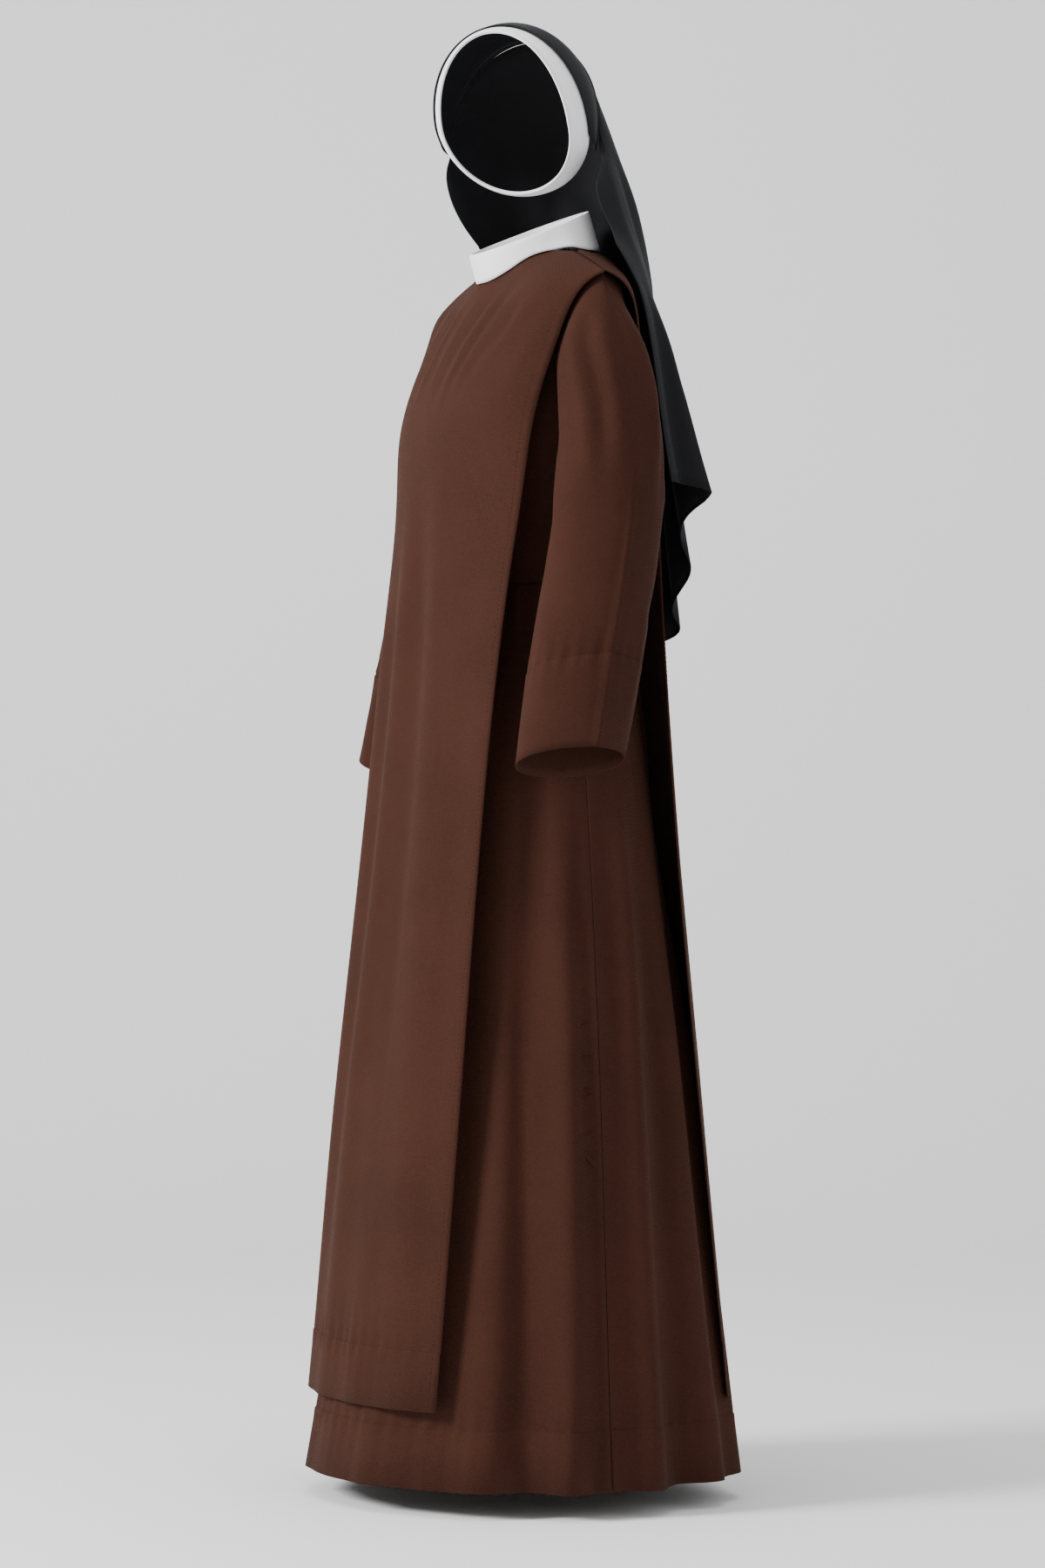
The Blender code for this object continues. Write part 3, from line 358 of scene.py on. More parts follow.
# Stage: the floor runs from in front of the habit to a curve, and up as a wall behind
FLOOR = {"front": -7.0, "back": 3.0, "side": 7.0, "curve": 1.5, "steps": 12, "top": 7.0}
FLOOR_LOOK = {"Base Color": (0.92, 0.92, 0.92, 1.0), "Roughness": 0.95, "Specular IOR Level": 0.1}
SKY = {"Color": (1.0, 1.0, 1.0, 1.0), "Strength": 0.75}
LAMPS = [
    {"name": "key", "azimuth": 5, "height": 2.6, "distance": 4.0, "size": 1.6, "power": 300,
     "aim": 1.0},
    {"name": "fill", "azimuth": 110, "height": 2.2, "distance": 5.0, "size": 3.0, "power": 40,
     "aim": 0.9},
    {"name": "top", "azimuth": 60, "height": 4.6, "distance": 0.5, "size": 2.5, "power": 50,
     "aim": 0.9},
]


def ease(t):
    t = min(max(t, 0.0), 1.0)
    return t * t * (3 - 2 * t)


def bump(distance, width):
    return math.exp(-((distance / width) ** 2))


def between(a, b, t):
    return a + (b - a) * t


def turned(angle, target):
    """The difference of two angles in degrees, from -180 to 180."""
    return (angle - target + 180) % 360 - 180


def waves(angle, count):
    return math.sin(math.radians(angle * count))


def height_of(place):
    return place.z + SHOULDER_HEIGHT


def angle_of(x, y):
    """Degrees from the front toward the wearer's left."""
    return math.degrees(math.atan2(x, -y)) % 360


def crease_lift(creases, u, v, u_scale=1.0):
    """The sum of soft creases at a point. Each fades out toward both of its ends."""
    lift = 0.0
    for crease in creases:
        path = crease["path"]
        low = min(p[1] for p in path) - CREASE_PAST_END
        high = max(p[1] for p in path) + CREASE_PAST_END
        if v < low or v > high:
            continue
        nearest = None
        spans = len(path) - 1
        for i in range(spans):
            along_u = (path[i + 1][0] - path[i][0]) * u_scale
            along_v = path[i + 1][1] - path[i][1]
            off_u = (u - path[i][0]) * u_scale
            off_v = v - path[i][1]
            t = (off_u * along_u + off_v * along_v) / (along_u ** 2 + along_v ** 2)
            t = min(max(t, 0.0), 1.0)
            distance = math.hypot(off_u - t * along_u, off_v - t * along_v)
            if nearest is None or distance < nearest[0]:
                nearest = (distance, (i + t) / spans)
        distance, share = nearest
        if distance < CREASE_WIDTHS * crease["width"]:
            fade = ease(share / CREASE_FADE_IN) * ease((1 - share) / CREASE_FADE_OUT)
            lift += crease["depth"] * fade * bump(distance, crease["width"])
    return lift


def shell(node):
    """A fine copy of a CAD wall: welded, in quads, subdivided, with its rims kept crisp."""
    coarse = bmesh.new()
    coarse.from_mesh(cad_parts[node].data)
    bmesh.ops.remove_doubles(coarse, verts=coarse.verts, dist=WELD)
    bmesh.ops.join_triangles(
        coarse, faces=coarse.faces, angle_face_threshold=FLAT_JOIN,
        angle_shape_threshold=math.pi,
    )
    crease = coarse.edges.layers.float.get("crease_edge")
    if crease is None:
        crease = coarse.edges.layers.float.new("crease_edge")
    for edge in coarse.edges:
        if len(edge.link_faces) == 2 and edge.calc_face_angle() > RIM_ANGLE:
            edge[crease] = 1.0
    mesh = bpy.data.meshes.new(node + "_cloth")
    coarse.to_mesh(mesh)
    coarse.free()
    piece = bpy.data.objects.new(node + "_cloth", mesh)
    bpy.context.scene.collection.objects.link(piece)
    finer = piece.modifiers.new("finer", "SUBSURF")
    finer.levels = SHELL_LEVELS
    finer.render_levels = SHELL_LEVELS
    bpy.context.view_layer.update()
    graph = bpy.context.evaluated_depsgraph_get()
    fine = bpy.data.meshes.new_from_object(piece.evaluated_get(graph))
    piece.modifiers.clear()
    piece.data = fine
    fine.name = node + "_cloth"
    return piece


def cut_lines(piece, planes):
    """New edge rows across a wall, for a hem's crisp line."""
    work = bmesh.new()
    work.from_mesh(piece.data)
    for place, normal in planes:
        everything = work.verts[:] + work.edges[:] + work.faces[:]
        bmesh.ops.bisect_plane(
            work, geom=everything, dist=ON_PLANE, plane_co=place, plane_no=normal,
        )
    work.to_mesh(piece.data)
    work.free()


def hem_planes(line):
    """The rows for a hem line: line gives a point on it and the way up from it."""
    place, up = line
    rows = (-HEM_GROOVE_WIDTH, -HEM_GROOVE_WIDTH / 2, 0.0, HEM_GROOVE_WIDTH / 2)
    return [(place + up * row, up) for row in rows]


def hem_lift(place, line):
    """The turned-up cloth stands a little proud below its stitch line."""
    start, up = line
    above = (place - start).dot(up)
    step = HEM_STEP * ease(0.5 - above / HEM_GROOVE_WIDTH)
    return step - HEM_GROOVE * bump(above, HEM_GROOVE_WIDTH / 2)


def pucker(along, above, size):
    """Small uneven puckers beside a stitch line."""
    turn = 2 * math.pi * along
    second = math.sin(turn / (SECOND_PUCKER["spacing"] * size["spacing"]))
    wave = math.sin(turn / size["spacing"]) + SECOND_PUCKER["share"] * second
    return size["depth"] * wave * bump(above, size["reach"])


def move(piece, shift):
    """Moves each vertex by a smooth function of its place, so that both faces go together."""
    for vertex in piece.data.vertices:
        vertex.co = vertex.co + shift(vertex.co)
    piece.data.update()


LEVEL_UP = Vector((0, 0, 1))
TUNIC_HEM_LINE = (Vector((0, 0, TUNIC_HEM_HEIGHT + TUNIC_HEM - SHOULDER_HEIGHT)), LEVEL_UP)
SCAPULAR_HEM_LINE = (
    Vector((0, 0, SCAPULAR_HEM_HEIGHT + SCAPULAR_HEM - SHOULDER_HEIGHT)), LEVEL_UP,
)


def cuff_line(side):
    """A cuff's stitch line, parallel to the slanted cuff."""
    slope = Vector((CUFF_OUTER_X - CUFF_INNER_X, 0, CUFF_OUTER_HEIGHT - CUFF_INNER_HEIGHT))
    up = Vector((-slope.z, 0, slope.x)).normalized()
    edge = Vector((CUFF_OUTER_X, 0, CUFF_OUTER_HEIGHT - SHOULDER_HEIGHT))
    place = edge + up * CUFF_HEM
    return Vector((side * place.x, 0, place.z)), Vector((side * up.x, 0, up.z))


def skirt_shift(place):
    angle = angle_of(place.x, place.y)
    height = height_of(place)
    radius = math.hypot(place.x, place.y)
    lift = 0.0
    for fold in SKIRT_FOLDS:
        down = (fold["top"] - height) / (fold["top"] - TUNIC_HEM_HEIGHT)
        away = turned(angle, fold["angle"] + fold["lean"] * max(down, 0.0))
        if down > 0 and abs(away) < CREASE_WIDTHS * fold["width"]:
            lift += fold["depth"] * ease(down * SKIRT_FOLD_ONSET) * bump(away, fold["width"])
    below_waist = WAIST_HEIGHT - height
    fade = math.exp(-max(below_waist, 0.0) / FINE_GATHERS["length"])
    gather = ease(below_waist / FINE_GATHERS["onset"]) * fade
    uneven = 1 + FINE_GATHERS["uneven"] * waves(angle, FINE_GATHERS["uneven_waves"])
    drift = FINE_GATHERS["drift"] * waves(angle, FINE_GATHERS["drift_waves"])
    wave = math.cos(math.radians(angle * FINE_GATHERS["count"] + drift))
    lift += FINE_GATHERS["depth"] * gather * uneven * wave
    arc = math.radians(1) * radius
    lift += crease_lift(SKIRT_CREASES, angle, height, arc)
    above_hem = height - TUNIC_HEM_HEIGHT - TUNIC_HEM
    lift += hem_lift(place, TUNIC_HEM_LINE)
    lift += pucker(math.radians(angle) * radius, above_hem, SKIRT_PUCKERS)
    return Vector((place.x, place.y, 0)).normalized() * lift


def panel_shift(place, face):
    """Folds of a scapular panel, along its own way out."""
    height = height_of(place)
    creases = FRONT_CREASES if face == "front" else BACK_CREASES
    lift = crease_lift(creases, place.x, height)
    above = height - SCAPULAR_HEM_HEIGHT - SCAPULAR_HEM
    lift += hem_lift(place, SCAPULAR_HEM_LINE)
    lift += pucker(place.x, above, PANEL_PUCKERS)
    side = PANEL_LEAN["share"] * place.x / PANEL_LEAN["at"]
    way = -1 if face == "front" else 1
    return Vector((side, way, 0)).normalized() * lift


def bodice_shift(place):
    angle = angle_of(place.x, place.y)
    radius = math.hypot(place.x, place.y)
    lift = crease_lift(BODICE_CREASES, angle, height_of(place), math.radians(1) * radius)
    return Vector((place.x, place.y, 0)).normalized() * lift


def sleeve_middle(height):
    rows = sorted(SLEEVE_LINE, key=lambda row: row["height"])
    height = min(max(height, rows[0]["height"]), rows[-1]["height"])
    for low, high in zip(rows, rows[1:]):
        if height <= high["height"]:
            t = (height - low["height"]) / (high["height"] - low["height"])
            return between(low["x"], high["x"], t), between(low["y"], high["y"], t)
    return rows[-1]["x"], rows[-1]["y"]


def sleeve_shift(place, side):
    height = height_of(place)
    x, y = sleeve_middle(height)
    out = Vector((side * place.x - x, place.y - y, 0))
    angle = math.degrees(math.atan2(out.y, out.x))
    arc = math.radians(1) * out.length
    lift = 0.0
    for crease in SLEEVE_CREASES:
        middle = sum(p[0] for p in crease["path"]) / len(crease["path"])
        near = middle + turned(angle, middle)
        lift += crease_lift([crease], near, height, arc)
    pressed = ease((PRESSED_CREASE["top"] - height) / PRESSED_CREASE["onset"])
    sharp = bump(turned(angle, PRESSED_CREASE["angle"]), PRESSED_CREASE["width"])
    lift += PRESSED_CREASE["depth"] * pressed * sharp
    line = cuff_line(side)
    lift += hem_lift(place, line)
    above = (place - line[0]).dot(line[1])
    lift += pucker(angle * arc, above, CUFF_PUCKERS)
    if height > SLEEVE_HEAD["from"]:
        lift *= ease((SLEEVE_HEAD["end"] - height) / SLEEVE_HEAD["fade"])
    way = out.normalized() * lift
    return Vector((side * way.x, way.y, 0))


def veil_shift(place):
    off = place - VEIL_MIDDLE
    angle = angle_of(off.x, off.y)
    radius = math.hypot(off.x, off.y)
    lift = crease_lift(VEIL_CREASES, angle, height_of(place), math.radians(1) * radius)
    return Vector((off.x, off.y, 0)).normalized() * lift


def collar_shift(place):
    angle = angle_of(place.x, place.y - COLLAR_Y)
    lift = 0.0
    for dent in COLLAR_DENTS:
        across = bump(turned(angle, dent["angle"]), dent["across"])
        lift += dent["depth"] * across * bump(height_of(place) - dent["height"], dent["up"])
    return Vector((place.x, place.y - COLLAR_Y, 0)).normalized() * lift


def rim_loops(piece):
    """Rows of points along a wall's sharp corners, each followed as far as it goes."""
    work = bmesh.new()
    work.from_mesh(piece.data)
    sharp = [e for e in work.edges if len(e.link_faces) == 2 and e.calc_face_angle() > RIM_ANGLE]
    nexts = {}
    for edge in sharp:
        for vert in edge.verts:
            nexts.setdefault(vert, []).append(edge.other_vert(vert))
    loops = []
    seen = set()
    for start in nexts:
        if start in seen:
            continue
        loop = [start]
        seen.add(start)
        while True:
            ahead = [v for v in nexts[loop[-1]] if v not in seen]
            if not ahead:
                break
            loop.append(ahead[0])
            seen.add(ahead[0])
        if len(loop) > LOOP_POINTS:
            loops.append([v.co.copy() for v in loop])
    work.free()
    return loops


def tube_mesh(name, paths, radius, sides, closed):
    """One mesh of thin tubes along paths."""
    mesh = bpy.data.meshes.new(name)
    work = bmesh.new()
    for path in paths:
        rings = []
        count = len(path)
        for i, place in enumerate(path):
            before = path[i - 1] if closed or i else path[i]
            after = path[(i + 1) % count] if closed or i < count - 1 else path[i]
            along = (after - before).normalized()
            across = along.orthogonal().normalized()
            if rings:
                across = (last_across - along * last_across.dot(along)).normalized()
            last_across = across
            up = along.cross(across)
            ring = []
            for k in range(sides):
                swing = 2 * math.pi * k / sides
                way = across * math.cos(swing) + up * math.sin(swing)
                ring.append(work.verts.new(place + radius * way))
            rings.append(ring)
        pairs = list(zip(rings, rings[1:]))
        if closed:
            pairs.append((rings[-1], rings[0]))
        for low, high in pairs:
            for k in range(sides):
                j = (k + 1) % sides
                work.faces.new((low[k], low[j], high[j], high[k]))
        if not closed:
            work.faces.new(rings[0][::-1])
            work.faces.new(rings[-1])
    work.to_mesh(mesh)
    work.free()
    mesh.shade_smooth()
    piece = bpy.data.objects.new(name, mesh)
    bpy.context.scene.collection.objects.link(piece)
    return piece


def spread(path, spacing):
    """Points at even spacing along a path, each with the way along it."""
    found = []
    need = spacing
    for a, b in zip(path, path[1:]):
        length = (b - a).length
        if length < SAME_POINT:
            continue
        along = (b - a) / length
        at = need
        while at <= length:
            found.append((a + along * at, along))
            at += spacing
        need = at - length
    return found


def stitches(name, paths):
    """A row of small stitches, each a slim spindle half sunk in the cloth."""
    mesh = bpy.data.meshes.new(name)
    work = bmesh.new()
    for path in paths:
        for place, along in spread(path, STITCH_SPACING):
            across = along.orthogonal().normalized()
            up = along.cross(across)
            ends = [work.verts.new(place + along * s * STITCH_LENGTH / 2) for s in (-1, 1)]
            ring = []
            for k in range(STITCH_SIDES):
                swing = math.pi * (2 * k + 1) / STITCH_SIDES
                way = across * math.cos(swing) + up * math.sin(swing)
                ring.append(work.verts.new(place + way * STITCH_RADIUS))
            for k in range(STITCH_SIDES):
                j = (k + 1) % STITCH_SIDES
                work.faces.new((ends[0], ring[j], ring[k]))
                work.faces.new((ends[1], ring[k], ring[j]))
    work.to_mesh(mesh)
    work.free()
    mesh.shade_smooth()
    piece = bpy.data.objects.new(name, mesh)
    bpy.context.scene.collection.objects.link(piece)
    return piece


def surface(piece):
    work = bmesh.new()
    work.from_mesh(piece.data)
    tree = BVHTree.FromBMesh(work)
    work.free()
    return tree


def landed(tree, start, toward):
    """Where a line from start first meets a surface, just above it, or None."""
    way = (toward - start).normalized()
    hit = tree.ray_cast(start, way)[0]
    if hit is None:
        return None
    return hit - way * STITCH_LIFT


def unbroken(points):
    """Splits a row of points wherever one is missing."""
    runs = [[]]
    for point in points:
        if point is None:
            runs.append([])
        else:
            runs[-1].append(point)
    return [run for run in runs if len(run) > 1]


def cloth_material(name, cloth):
    """Woven cloth: crossed threads, a soft fleck, slow colour change and sheen."""
    look = CLOTHS[cloth]
    material = bpy.data.materials.new(name)
    material.use_nodes = True
    nodes = material.node_tree.nodes
    links = material.node_tree.links
    shader = nodes["Principled BSDF"]
    place = nodes.new("ShaderNodeTexCoord")

    def wave(direction, scale):
        made = nodes.new("ShaderNodeTexWave")
        made.wave_type = "BANDS"
        made.bands_direction = direction
        made.inputs["Scale"].default_value = scale
        for socket, value in WEAVE_WANDER.items():
            made.inputs[socket].default_value = value
        links.new(place.outputs["Object"], made.inputs["Vector"])
        return made.outputs["Fac"]

    def fleck(scale, detail):
        made = nodes.new("ShaderNodeTexNoise")
        made.inputs["Scale"].default_value = scale
        made.inputs["Detail"].default_value = detail
        links.new(place.outputs["Object"], made.inputs["Vector"])
        return made.outputs["Fac"]

    def maths(operation, a, b):
        made = nodes.new("ShaderNodeMath")
        made.operation = operation
        for socket, value in zip(made.inputs, (a, b)):
            if isinstance(value, float):
                socket.default_value = value
            else:
                links.new(value, socket)
        return made.outputs["Value"]

    bands = look["weave"] / WEAVE_BAND_RATIO
    threads = maths("MULTIPLY", wave("DIAGONAL", bands), wave("Z", bands))
    slow = fleck(*SLOW_FLECK)
    grain = fleck(*FINE_FLECK)
    woven = maths("MULTIPLY", threads, TINT_SHARES["threads"])
    blend = maths("ADD", woven, maths("MULTIPLY", grain, TINT_SHARES["grain"]))
    blend = maths("ADD", blend, maths("MULTIPLY", slow, TINT_SHARES["slow"]))
    blend = maths("SUBTRACT", blend, TINT_SHARES["less"])
    mix = nodes.new("ShaderNodeMix")
    mix.data_type = "RGBA"
    links.new(blend, mix.inputs["Factor"])
    mix.inputs[6].default_value = look["dark"]
    mix.inputs[7].default_value = look["light"]
    links.new(mix.outputs[2], shader.inputs["Base Color"])
    spread_out = maths("MULTIPLY", grain, ROUGH_SPREAD)
    rough = maths("ADD", spread_out, look["rough"] - ROUGH_SPREAD / 2)
    links.new(rough, shader.inputs["Roughness"])
    relief = nodes.new("ShaderNodeBump")
    relief.inputs["Distance"].default_value = look["weave_depth"]
    relief.inputs["Strength"].default_value = RELIEF_STRENGTH
    rise = maths("ADD", threads, maths("MULTIPLY", grain, GRAIN_RELIEF))
    links.new(rise, relief.inputs["Height"])
    links.new(relief.outputs["Normal"], shader.inputs["Normal"])
    shader.inputs["Sheen Weight"].default_value = look["sheen"]
    shader.inputs["Sheen Roughness"].default_value = SHEEN_ROUGHNESS
    shader.inputs["Sheen Tint"].default_value = look["sheen_tint"]
    shader.inputs["Specular IOR Level"].default_value = look["specular"]
    return material


def dress(piece, node, materials):
    """Gives a piece its cloth and body."""
    piece.data.materials.clear()
    piece.data.materials.append(materials[NODE_CLOTH[node]])
    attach(piece, "root")
    return piece


def skirt_stitches(tree, start, end):
    """The hem's stitch line on a skirt panel, found from outside."""
    row = []
    height = TUNIC_HEM_LINE[0].z
    for i in range(SKIRT_STITCH_POINTS + 1):
        turn = math.radians(between(start, end, i / SKIRT_STITCH_POINTS))
        far = Vector((FAR_OUT * math.sin(turn), -FAR_OUT * math.cos(turn), height))
        row.append(landed(tree, far, Vector((0, 0, height))))
    return unbroken(row)


def panel_stitches(tree, face):
    """A scapular panel's hem line and the lines inside its two long edges."""
    way = -1 if face == "front" else 1
    node = "scapular_" + face
    low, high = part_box(node)
    rows = []
    height = SCAPULAR_HEM_LINE[0].z
    half = PANEL_HALF_WIDTHS[face]["stitched"]
    hem = []
    for i in range(PANEL_HEM_POINTS + 1):
        x = between(-half, half, i / PANEL_HEM_POINTS)
        hem.append(landed(tree, Vector((x, way * FAR_OUT, height)), Vector((x, 0, height))))
    rows += unbroken(hem)
    for side in (-1, 1):
        edge = []
        bottom = low.z + PANEL_EDGE_FROM_HEM
        top = high.z - PANEL_EDGE_FROM_TOP
        for i in range(PANEL_EDGE_POINTS + 1):
            z = between(bottom, top, i / PANEL_EDGE_POINTS)
            widest = panel_half_width(z + SHOULDER_HEIGHT, face) - SCAPULAR_EDGE_INSET
            start = Vector((side * widest, way * FAR_OUT, z))
            edge.append(landed(tree, start, Vector((side * widest, 0, z))))
        rows += unbroken(edge)
    return rows


def panel_half_width(height, face):
    """Half a panel's width at a height: it is narrowest at the waist."""
    half = PANEL_HALF_WIDTHS[face]
    if height < WAIST_HEIGHT:
        t = (height - SCAPULAR_HEM_HEIGHT) / (WAIST_HEIGHT - SCAPULAR_HEM_HEIGHT)
        return between(half["hem"], half["waist"], t)
    t = (height - WAIST_HEIGHT) / (PANEL_TOP_HEIGHT - WAIST_HEIGHT)
    return between(half["waist"], half["top"], min(t, 1.0))


def cuff_stitches(tree, side):
    place, up = cuff_line(side)
    x, y = sleeve_middle(place.z + SHOULDER_HEIGHT)
    middle = Vector((side * x, y, place.z + up.x * (place.x - side * x) / up.z))
    back = Vector((0, 1, 0))
    across = up.cross(back).normalized()
    row = []
    for i in range(CUFF_STITCH_POINTS + 1):
        swing = 2 * math.pi * i / CUFF_STITCH_POINTS
        way = across * math.cos(swing) + back * math.sin(swing)
        row.append(landed(tree, middle + way * CUFF_REACH, middle))
    return unbroken(row)


def collar_stitches(tree):
    """A line just above the lower edge of the collar's turned-over fall."""
    look = COLLAR_STITCHES
    row = []
    for i in range(look["points"] + 1):
        turn = math.radians(between(-look["end"], look["end"], i / look["points"]))
        rise = between(look["front"], look["back"], (1 - math.cos(turn)) / 2)
        middle = Vector((0, COLLAR_Y, rise))
        way = Vector((math.sin(turn), -math.cos(turn), 0))
        row.append(landed(tree, middle + look["reach"] * way, middle))
    return unbroken(row)


def head_point(left, back, height):
    """From the turned frame of the head to the habit's own."""
    x = left * math.cos(HEAD_TURN) - back * math.sin(HEAD_TURN)
    y = left * math.sin(HEAD_TURN) + back * math.cos(HEAD_TURN)
    return Vector((x, y + HEAD_Y, height - SHOULDER_HEIGHT))


def band_rim():
    """The folded front rim of the headband."""
    path = []
    for i in range(BAND_RIM_POINTS):
        turn = 2 * math.pi * i / BAND_RIM_POINTS
        reach = BAND_FRONT["up"] if math.cos(turn) > 0 else BAND_FRONT["down"]
        left = BAND_FRONT["half_width"] * math.sin(turn)
        height = BAND_FRONT["middle"] + reach * math.cos(turn)
        lean = BAND_FRONT["lean"] * (1 - math.cos(turn)) ** BAND_FRONT["power"]
        back = BAND_FRONT["start"] + lean
        path.append(head_point(left * BAND_RIM_INWARD, back - BAND_RIM_FORWARD, height))
    return tube_mesh("headband_rim", [path], BAND_RIM_RADIUS, TUBE_SIDES, True)


def seam_tape(name, piece, side):
    """A side seam's turned-in edges, as a flat tape just inside the skirt.

    It follows the front panel's own edge, found as its points furthest back at each height.
    """
    rows = {}
    for vertex in piece.data.vertices:
        place = vertex.co
        if place.x * side > SEAM_OUTSIDE:
            rows.setdefault(round(place.z / SEAM_STEP), []).append(place.copy())
    path = []
    for row in sorted(rows):
        edge = max(place.y for place in rows[row])
        ends = [place for place in rows[row] if place.y > edge - SEAM_NEAR]
        place = min(ends, key=lambda end: abs(end.x))
        height = place.z + SHOULDER_HEIGHT
        if height < WAIST_HEIGHT - SEAM_FROM_WAIST:
            place.z = max(place.z, TUNIC_HEM_HEIGHT + SEAM_FROM_HEM - SHOULDER_HEIGHT)
            path.append(place + Vector((-side * SEAM_DEPTH, 0, 0)))
    tape = tube_mesh(name, [path], SEAM_RADIUS, SEAM_SIDES, False)
    for i, vertex in enumerate(tape.data.vertices):
        middle = path[i // SEAM_SIDES].y
        vertex.co.y = middle + SEAM_PAST_EDGE + SEAM_FLATNESS * (vertex.co.y - middle)
    return tape


def veil_crease():
    """The veil's fold over the head, where the cap turns down into the fall."""
    fold = VEIL_CREASE
    path = []
    for i in range(fold["points"] + 1):
        turn = math.radians(between(-fold["end"], fold["end"], i / fold["points"]))
        left = fold["half_width"] * math.sin(turn)
        back = fold["back"] + fold["top_back"] * max(math.cos(turn), 0.0)
        height = fold["middle"] + fold["up"] * math.cos(turn)
        path.append(head_point(left, back, height))
    return tube_mesh("veil_crease", [path], fold["radius"], TUBE_SIDES, False)


def thinned(path, step):
    """Every point of a path that is at least a step on from the last one kept."""
    kept = [path[0]]
    for point in path[1:]:
        if (point - kept[-1]).length > step:
            kept.append(point)
    return kept


def build_garment():
    materials = {cloth: cloth_material(cloth + "_cloth", cloth) for cloth in CLOTHS}
    shifts = {
        "bodice_front": bodice_shift, "bodice_back": bodice_shift,
        "skirt_front": skirt_shift, "skirt_back": skirt_shift,
        "sleeve_left": lambda p: sleeve_shift(p, 1),
        "sleeve_right": lambda p: sleeve_shift(p, -1),
        "scapular_front": lambda p: panel_shift(p, "front"),
        "scapular_back": lambda p: panel_shift(p, "back"),
        "collar": collar_shift, "veil_fall": veil_shift,
    }
    hems = {
        "skirt_front": TUNIC_HEM_LINE, "skirt_back": TUNIC_HEM_LINE,
        "scapular_front": SCAPULAR_HEM_LINE, "scapular_back": SCAPULAR_HEM_LINE,
        "sleeve_left": cuff_line(1), "sleeve_right": cuff_line(-1),
    }
    trims = {node: [] for node in NODE_CLOTH}
    shells = {}
    for node in NODE_CLOTH:
        piece = shell(node)
        if node in hems:
            cut_lines(piece, hem_planes(hems[node]))
        if node in shifts:
            move(piece, shifts[node])
        piece.data.shade_smooth()
        piece.data.set_sharp_from_angle(angle=SHARP_SHADING)
        shells[node] = piece
    rows = {
        "skirt_front": lambda tree: skirt_stitches(tree, *SKIRT_STITCH_ARCS["skirt_front"]),
        "skirt_back": lambda tree: skirt_stitches(tree, *SKIRT_STITCH_ARCS["skirt_back"]),
        "scapular_front": lambda tree: panel_stitches(tree, "front"),
        "scapular_back": lambda tree: panel_stitches(tree, "back"),
        "sleeve_left": lambda tree: cuff_stitches(tree, 1),
        "sleeve_right": lambda tree: cuff_stitches(tree, -1),
        "collar": collar_stitches,
    }
    for node, found in rows.items():
        row = stitches(node + "_stitches", found(surface(shells[node])))
        trims[node].append(dress(row, node, materials))
    loops = [thinned(loop, VEIL_HEM_STEP) for loop in rim_loops(shells["veil_fall"])]
    longest = max(loops, key=len)
    roll = tube_mesh("veil_fall_hem", [longest], VEIL_HEM_RADIUS, VEIL_HEM_SIDES, True)
    trims["veil_fall"].append(dress(roll, "veil_fall", materials))
    trims["headband"].append(dress(band_rim(), "headband", materials))
    trims["veil_crown"].append(dress(veil_crease(), "veil_crown", materials))
    for name, side in (("side_seam_left", 1), ("side_seam_right", -1)):
        seam = seam_tape(name, shells["skirt_front"], side)
        trims["skirt_front"].append(dress(seam, "skirt_front", materials))
    for node, piece in shells.items():
        dress(piece, node, materials)
        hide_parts(node)


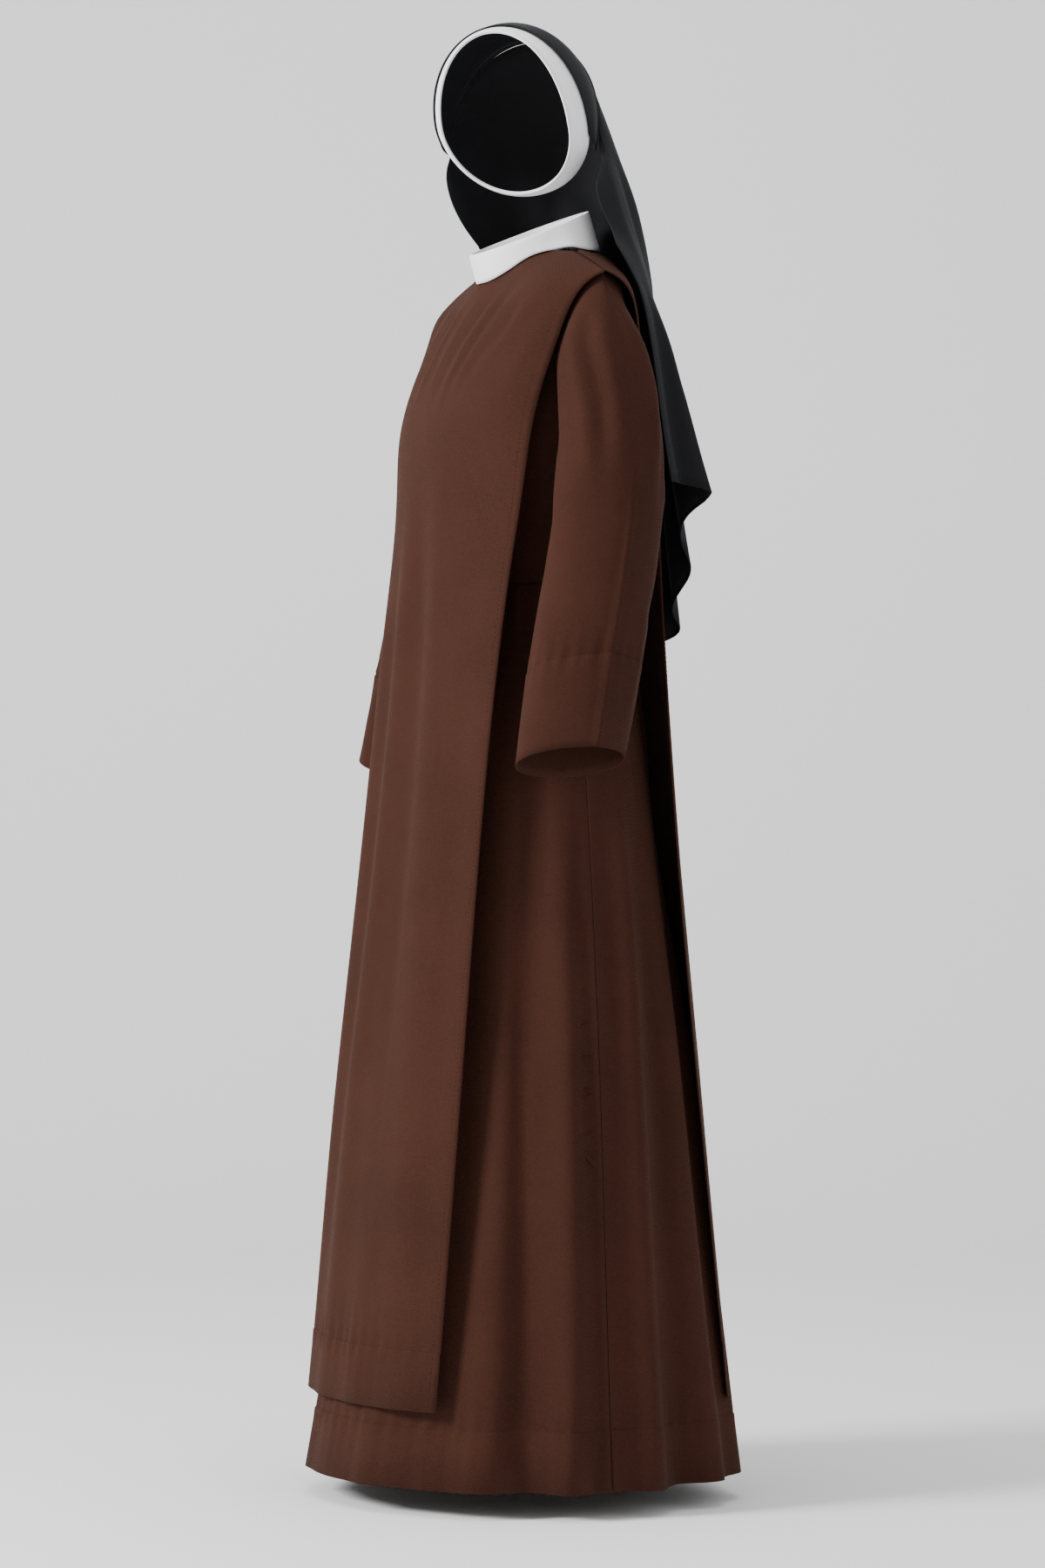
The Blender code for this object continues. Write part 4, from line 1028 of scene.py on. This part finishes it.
def backdrop():
    """A pale floor that curves up into a plain wall behind."""
    mesh = bpy.data.meshes.new("floor")
    work = bmesh.new()
    away = Vector((-math.sin(CAMERA_AZIMUTH), math.cos(CAMERA_AZIMUTH), 0))
    right = Vector((math.cos(CAMERA_AZIMUTH), math.sin(CAMERA_AZIMUTH), 0))
    curve = FLOOR["curve"]
    profile = [(FLOOR["front"], 0.0), (FLOOR["back"], 0.0)]
    for i in range(1, FLOOR["steps"] + 1):
        swing = math.radians(90 * i / FLOOR["steps"])
        profile.append((FLOOR["back"] + curve * math.sin(swing), curve * (1 - math.cos(swing))))
    profile.append((FLOOR["back"] + curve, FLOOR["top"]))
    rows = []
    for back, up in profile:
        middle = away * back + Vector((0, 0, up - SHOULDER_HEIGHT))
        sides = (-FLOOR["side"], FLOOR["side"])
        rows.append([work.verts.new(middle + right * side) for side in sides])
    for low, high in zip(rows, rows[1:]):
        work.faces.new((low[0], low[1], high[1], high[0]))
    work.to_mesh(mesh)
    work.free()
    mesh.shade_smooth()
    floor = bpy.data.objects.new("floor", mesh)
    bpy.context.scene.collection.objects.link(floor)
    material = bpy.data.materials.new("pale_floor")
    material.use_nodes = True
    shader = material.node_tree.nodes["Principled BSDF"]
    for socket, value in FLOOR_LOOK.items():
        shader.inputs[socket].default_value = value
    mesh.materials.append(material)


def soft_light(lamp):
    """An area light, placed by its angle round the habit, aimed at its axis."""
    light = bpy.data.lights.new(lamp["name"], "AREA")
    light.shape = "DISK"
    light.size = lamp["size"]
    light.energy = lamp["power"]
    stand = bpy.data.objects.new(lamp["name"], light)
    bpy.context.scene.collection.objects.link(stand)
    turn = math.radians(lamp["azimuth"])
    reach = lamp["distance"]
    stand.location = (
        reach * math.sin(turn), -reach * math.cos(turn), lamp["height"] - SHOULDER_HEIGHT,
    )
    aim = Vector((0, 0, lamp["aim"] - SHOULDER_HEIGHT)) - stand.location
    stand.rotation_mode = "QUATERNION"
    stand.rotation_quaternion = aim.to_track_quat("-Z", "Y")


def lights():
    world = bpy.data.worlds.new("studio")
    world.use_nodes = True
    background = world.node_tree.nodes["Background"]
    for socket, value in SKY.items():
        background.inputs[socket].default_value = value
    bpy.context.scene.world = world
    for lamp in LAMPS:
        soft_light(lamp)


def camera():
    lens = bpy.data.cameras.new("camera")
    lens.sensor_fit = "VERTICAL"
    lens.sensor_width = SENSOR
    lens.sensor_height = SENSOR
    lens.lens = CAMERA_LENS
    shot = bpy.data.objects.new("camera", lens)
    bpy.context.scene.collection.objects.link(shot)
    toward = Vector((math.sin(CAMERA_AZIMUTH), -math.cos(CAMERA_AZIMUTH), 0))
    right = Vector((math.cos(CAMERA_AZIMUTH), math.sin(CAMERA_AZIMUTH), 0))
    level = Vector((0, 0, CAMERA_HEIGHT - SHOULDER_HEIGHT))
    shot.location = toward * CAMERA_DISTANCE + right * CAMERA_ASIDE + level
    shot.rotation_mode = "QUATERNION"
    shot.rotation_quaternion = (-toward).to_track_quat("-Z", "Y")
    bpy.context.scene.camera = shot


camera()
lights()
backdrop()
build_garment()
bpy.context.view_layer.update()
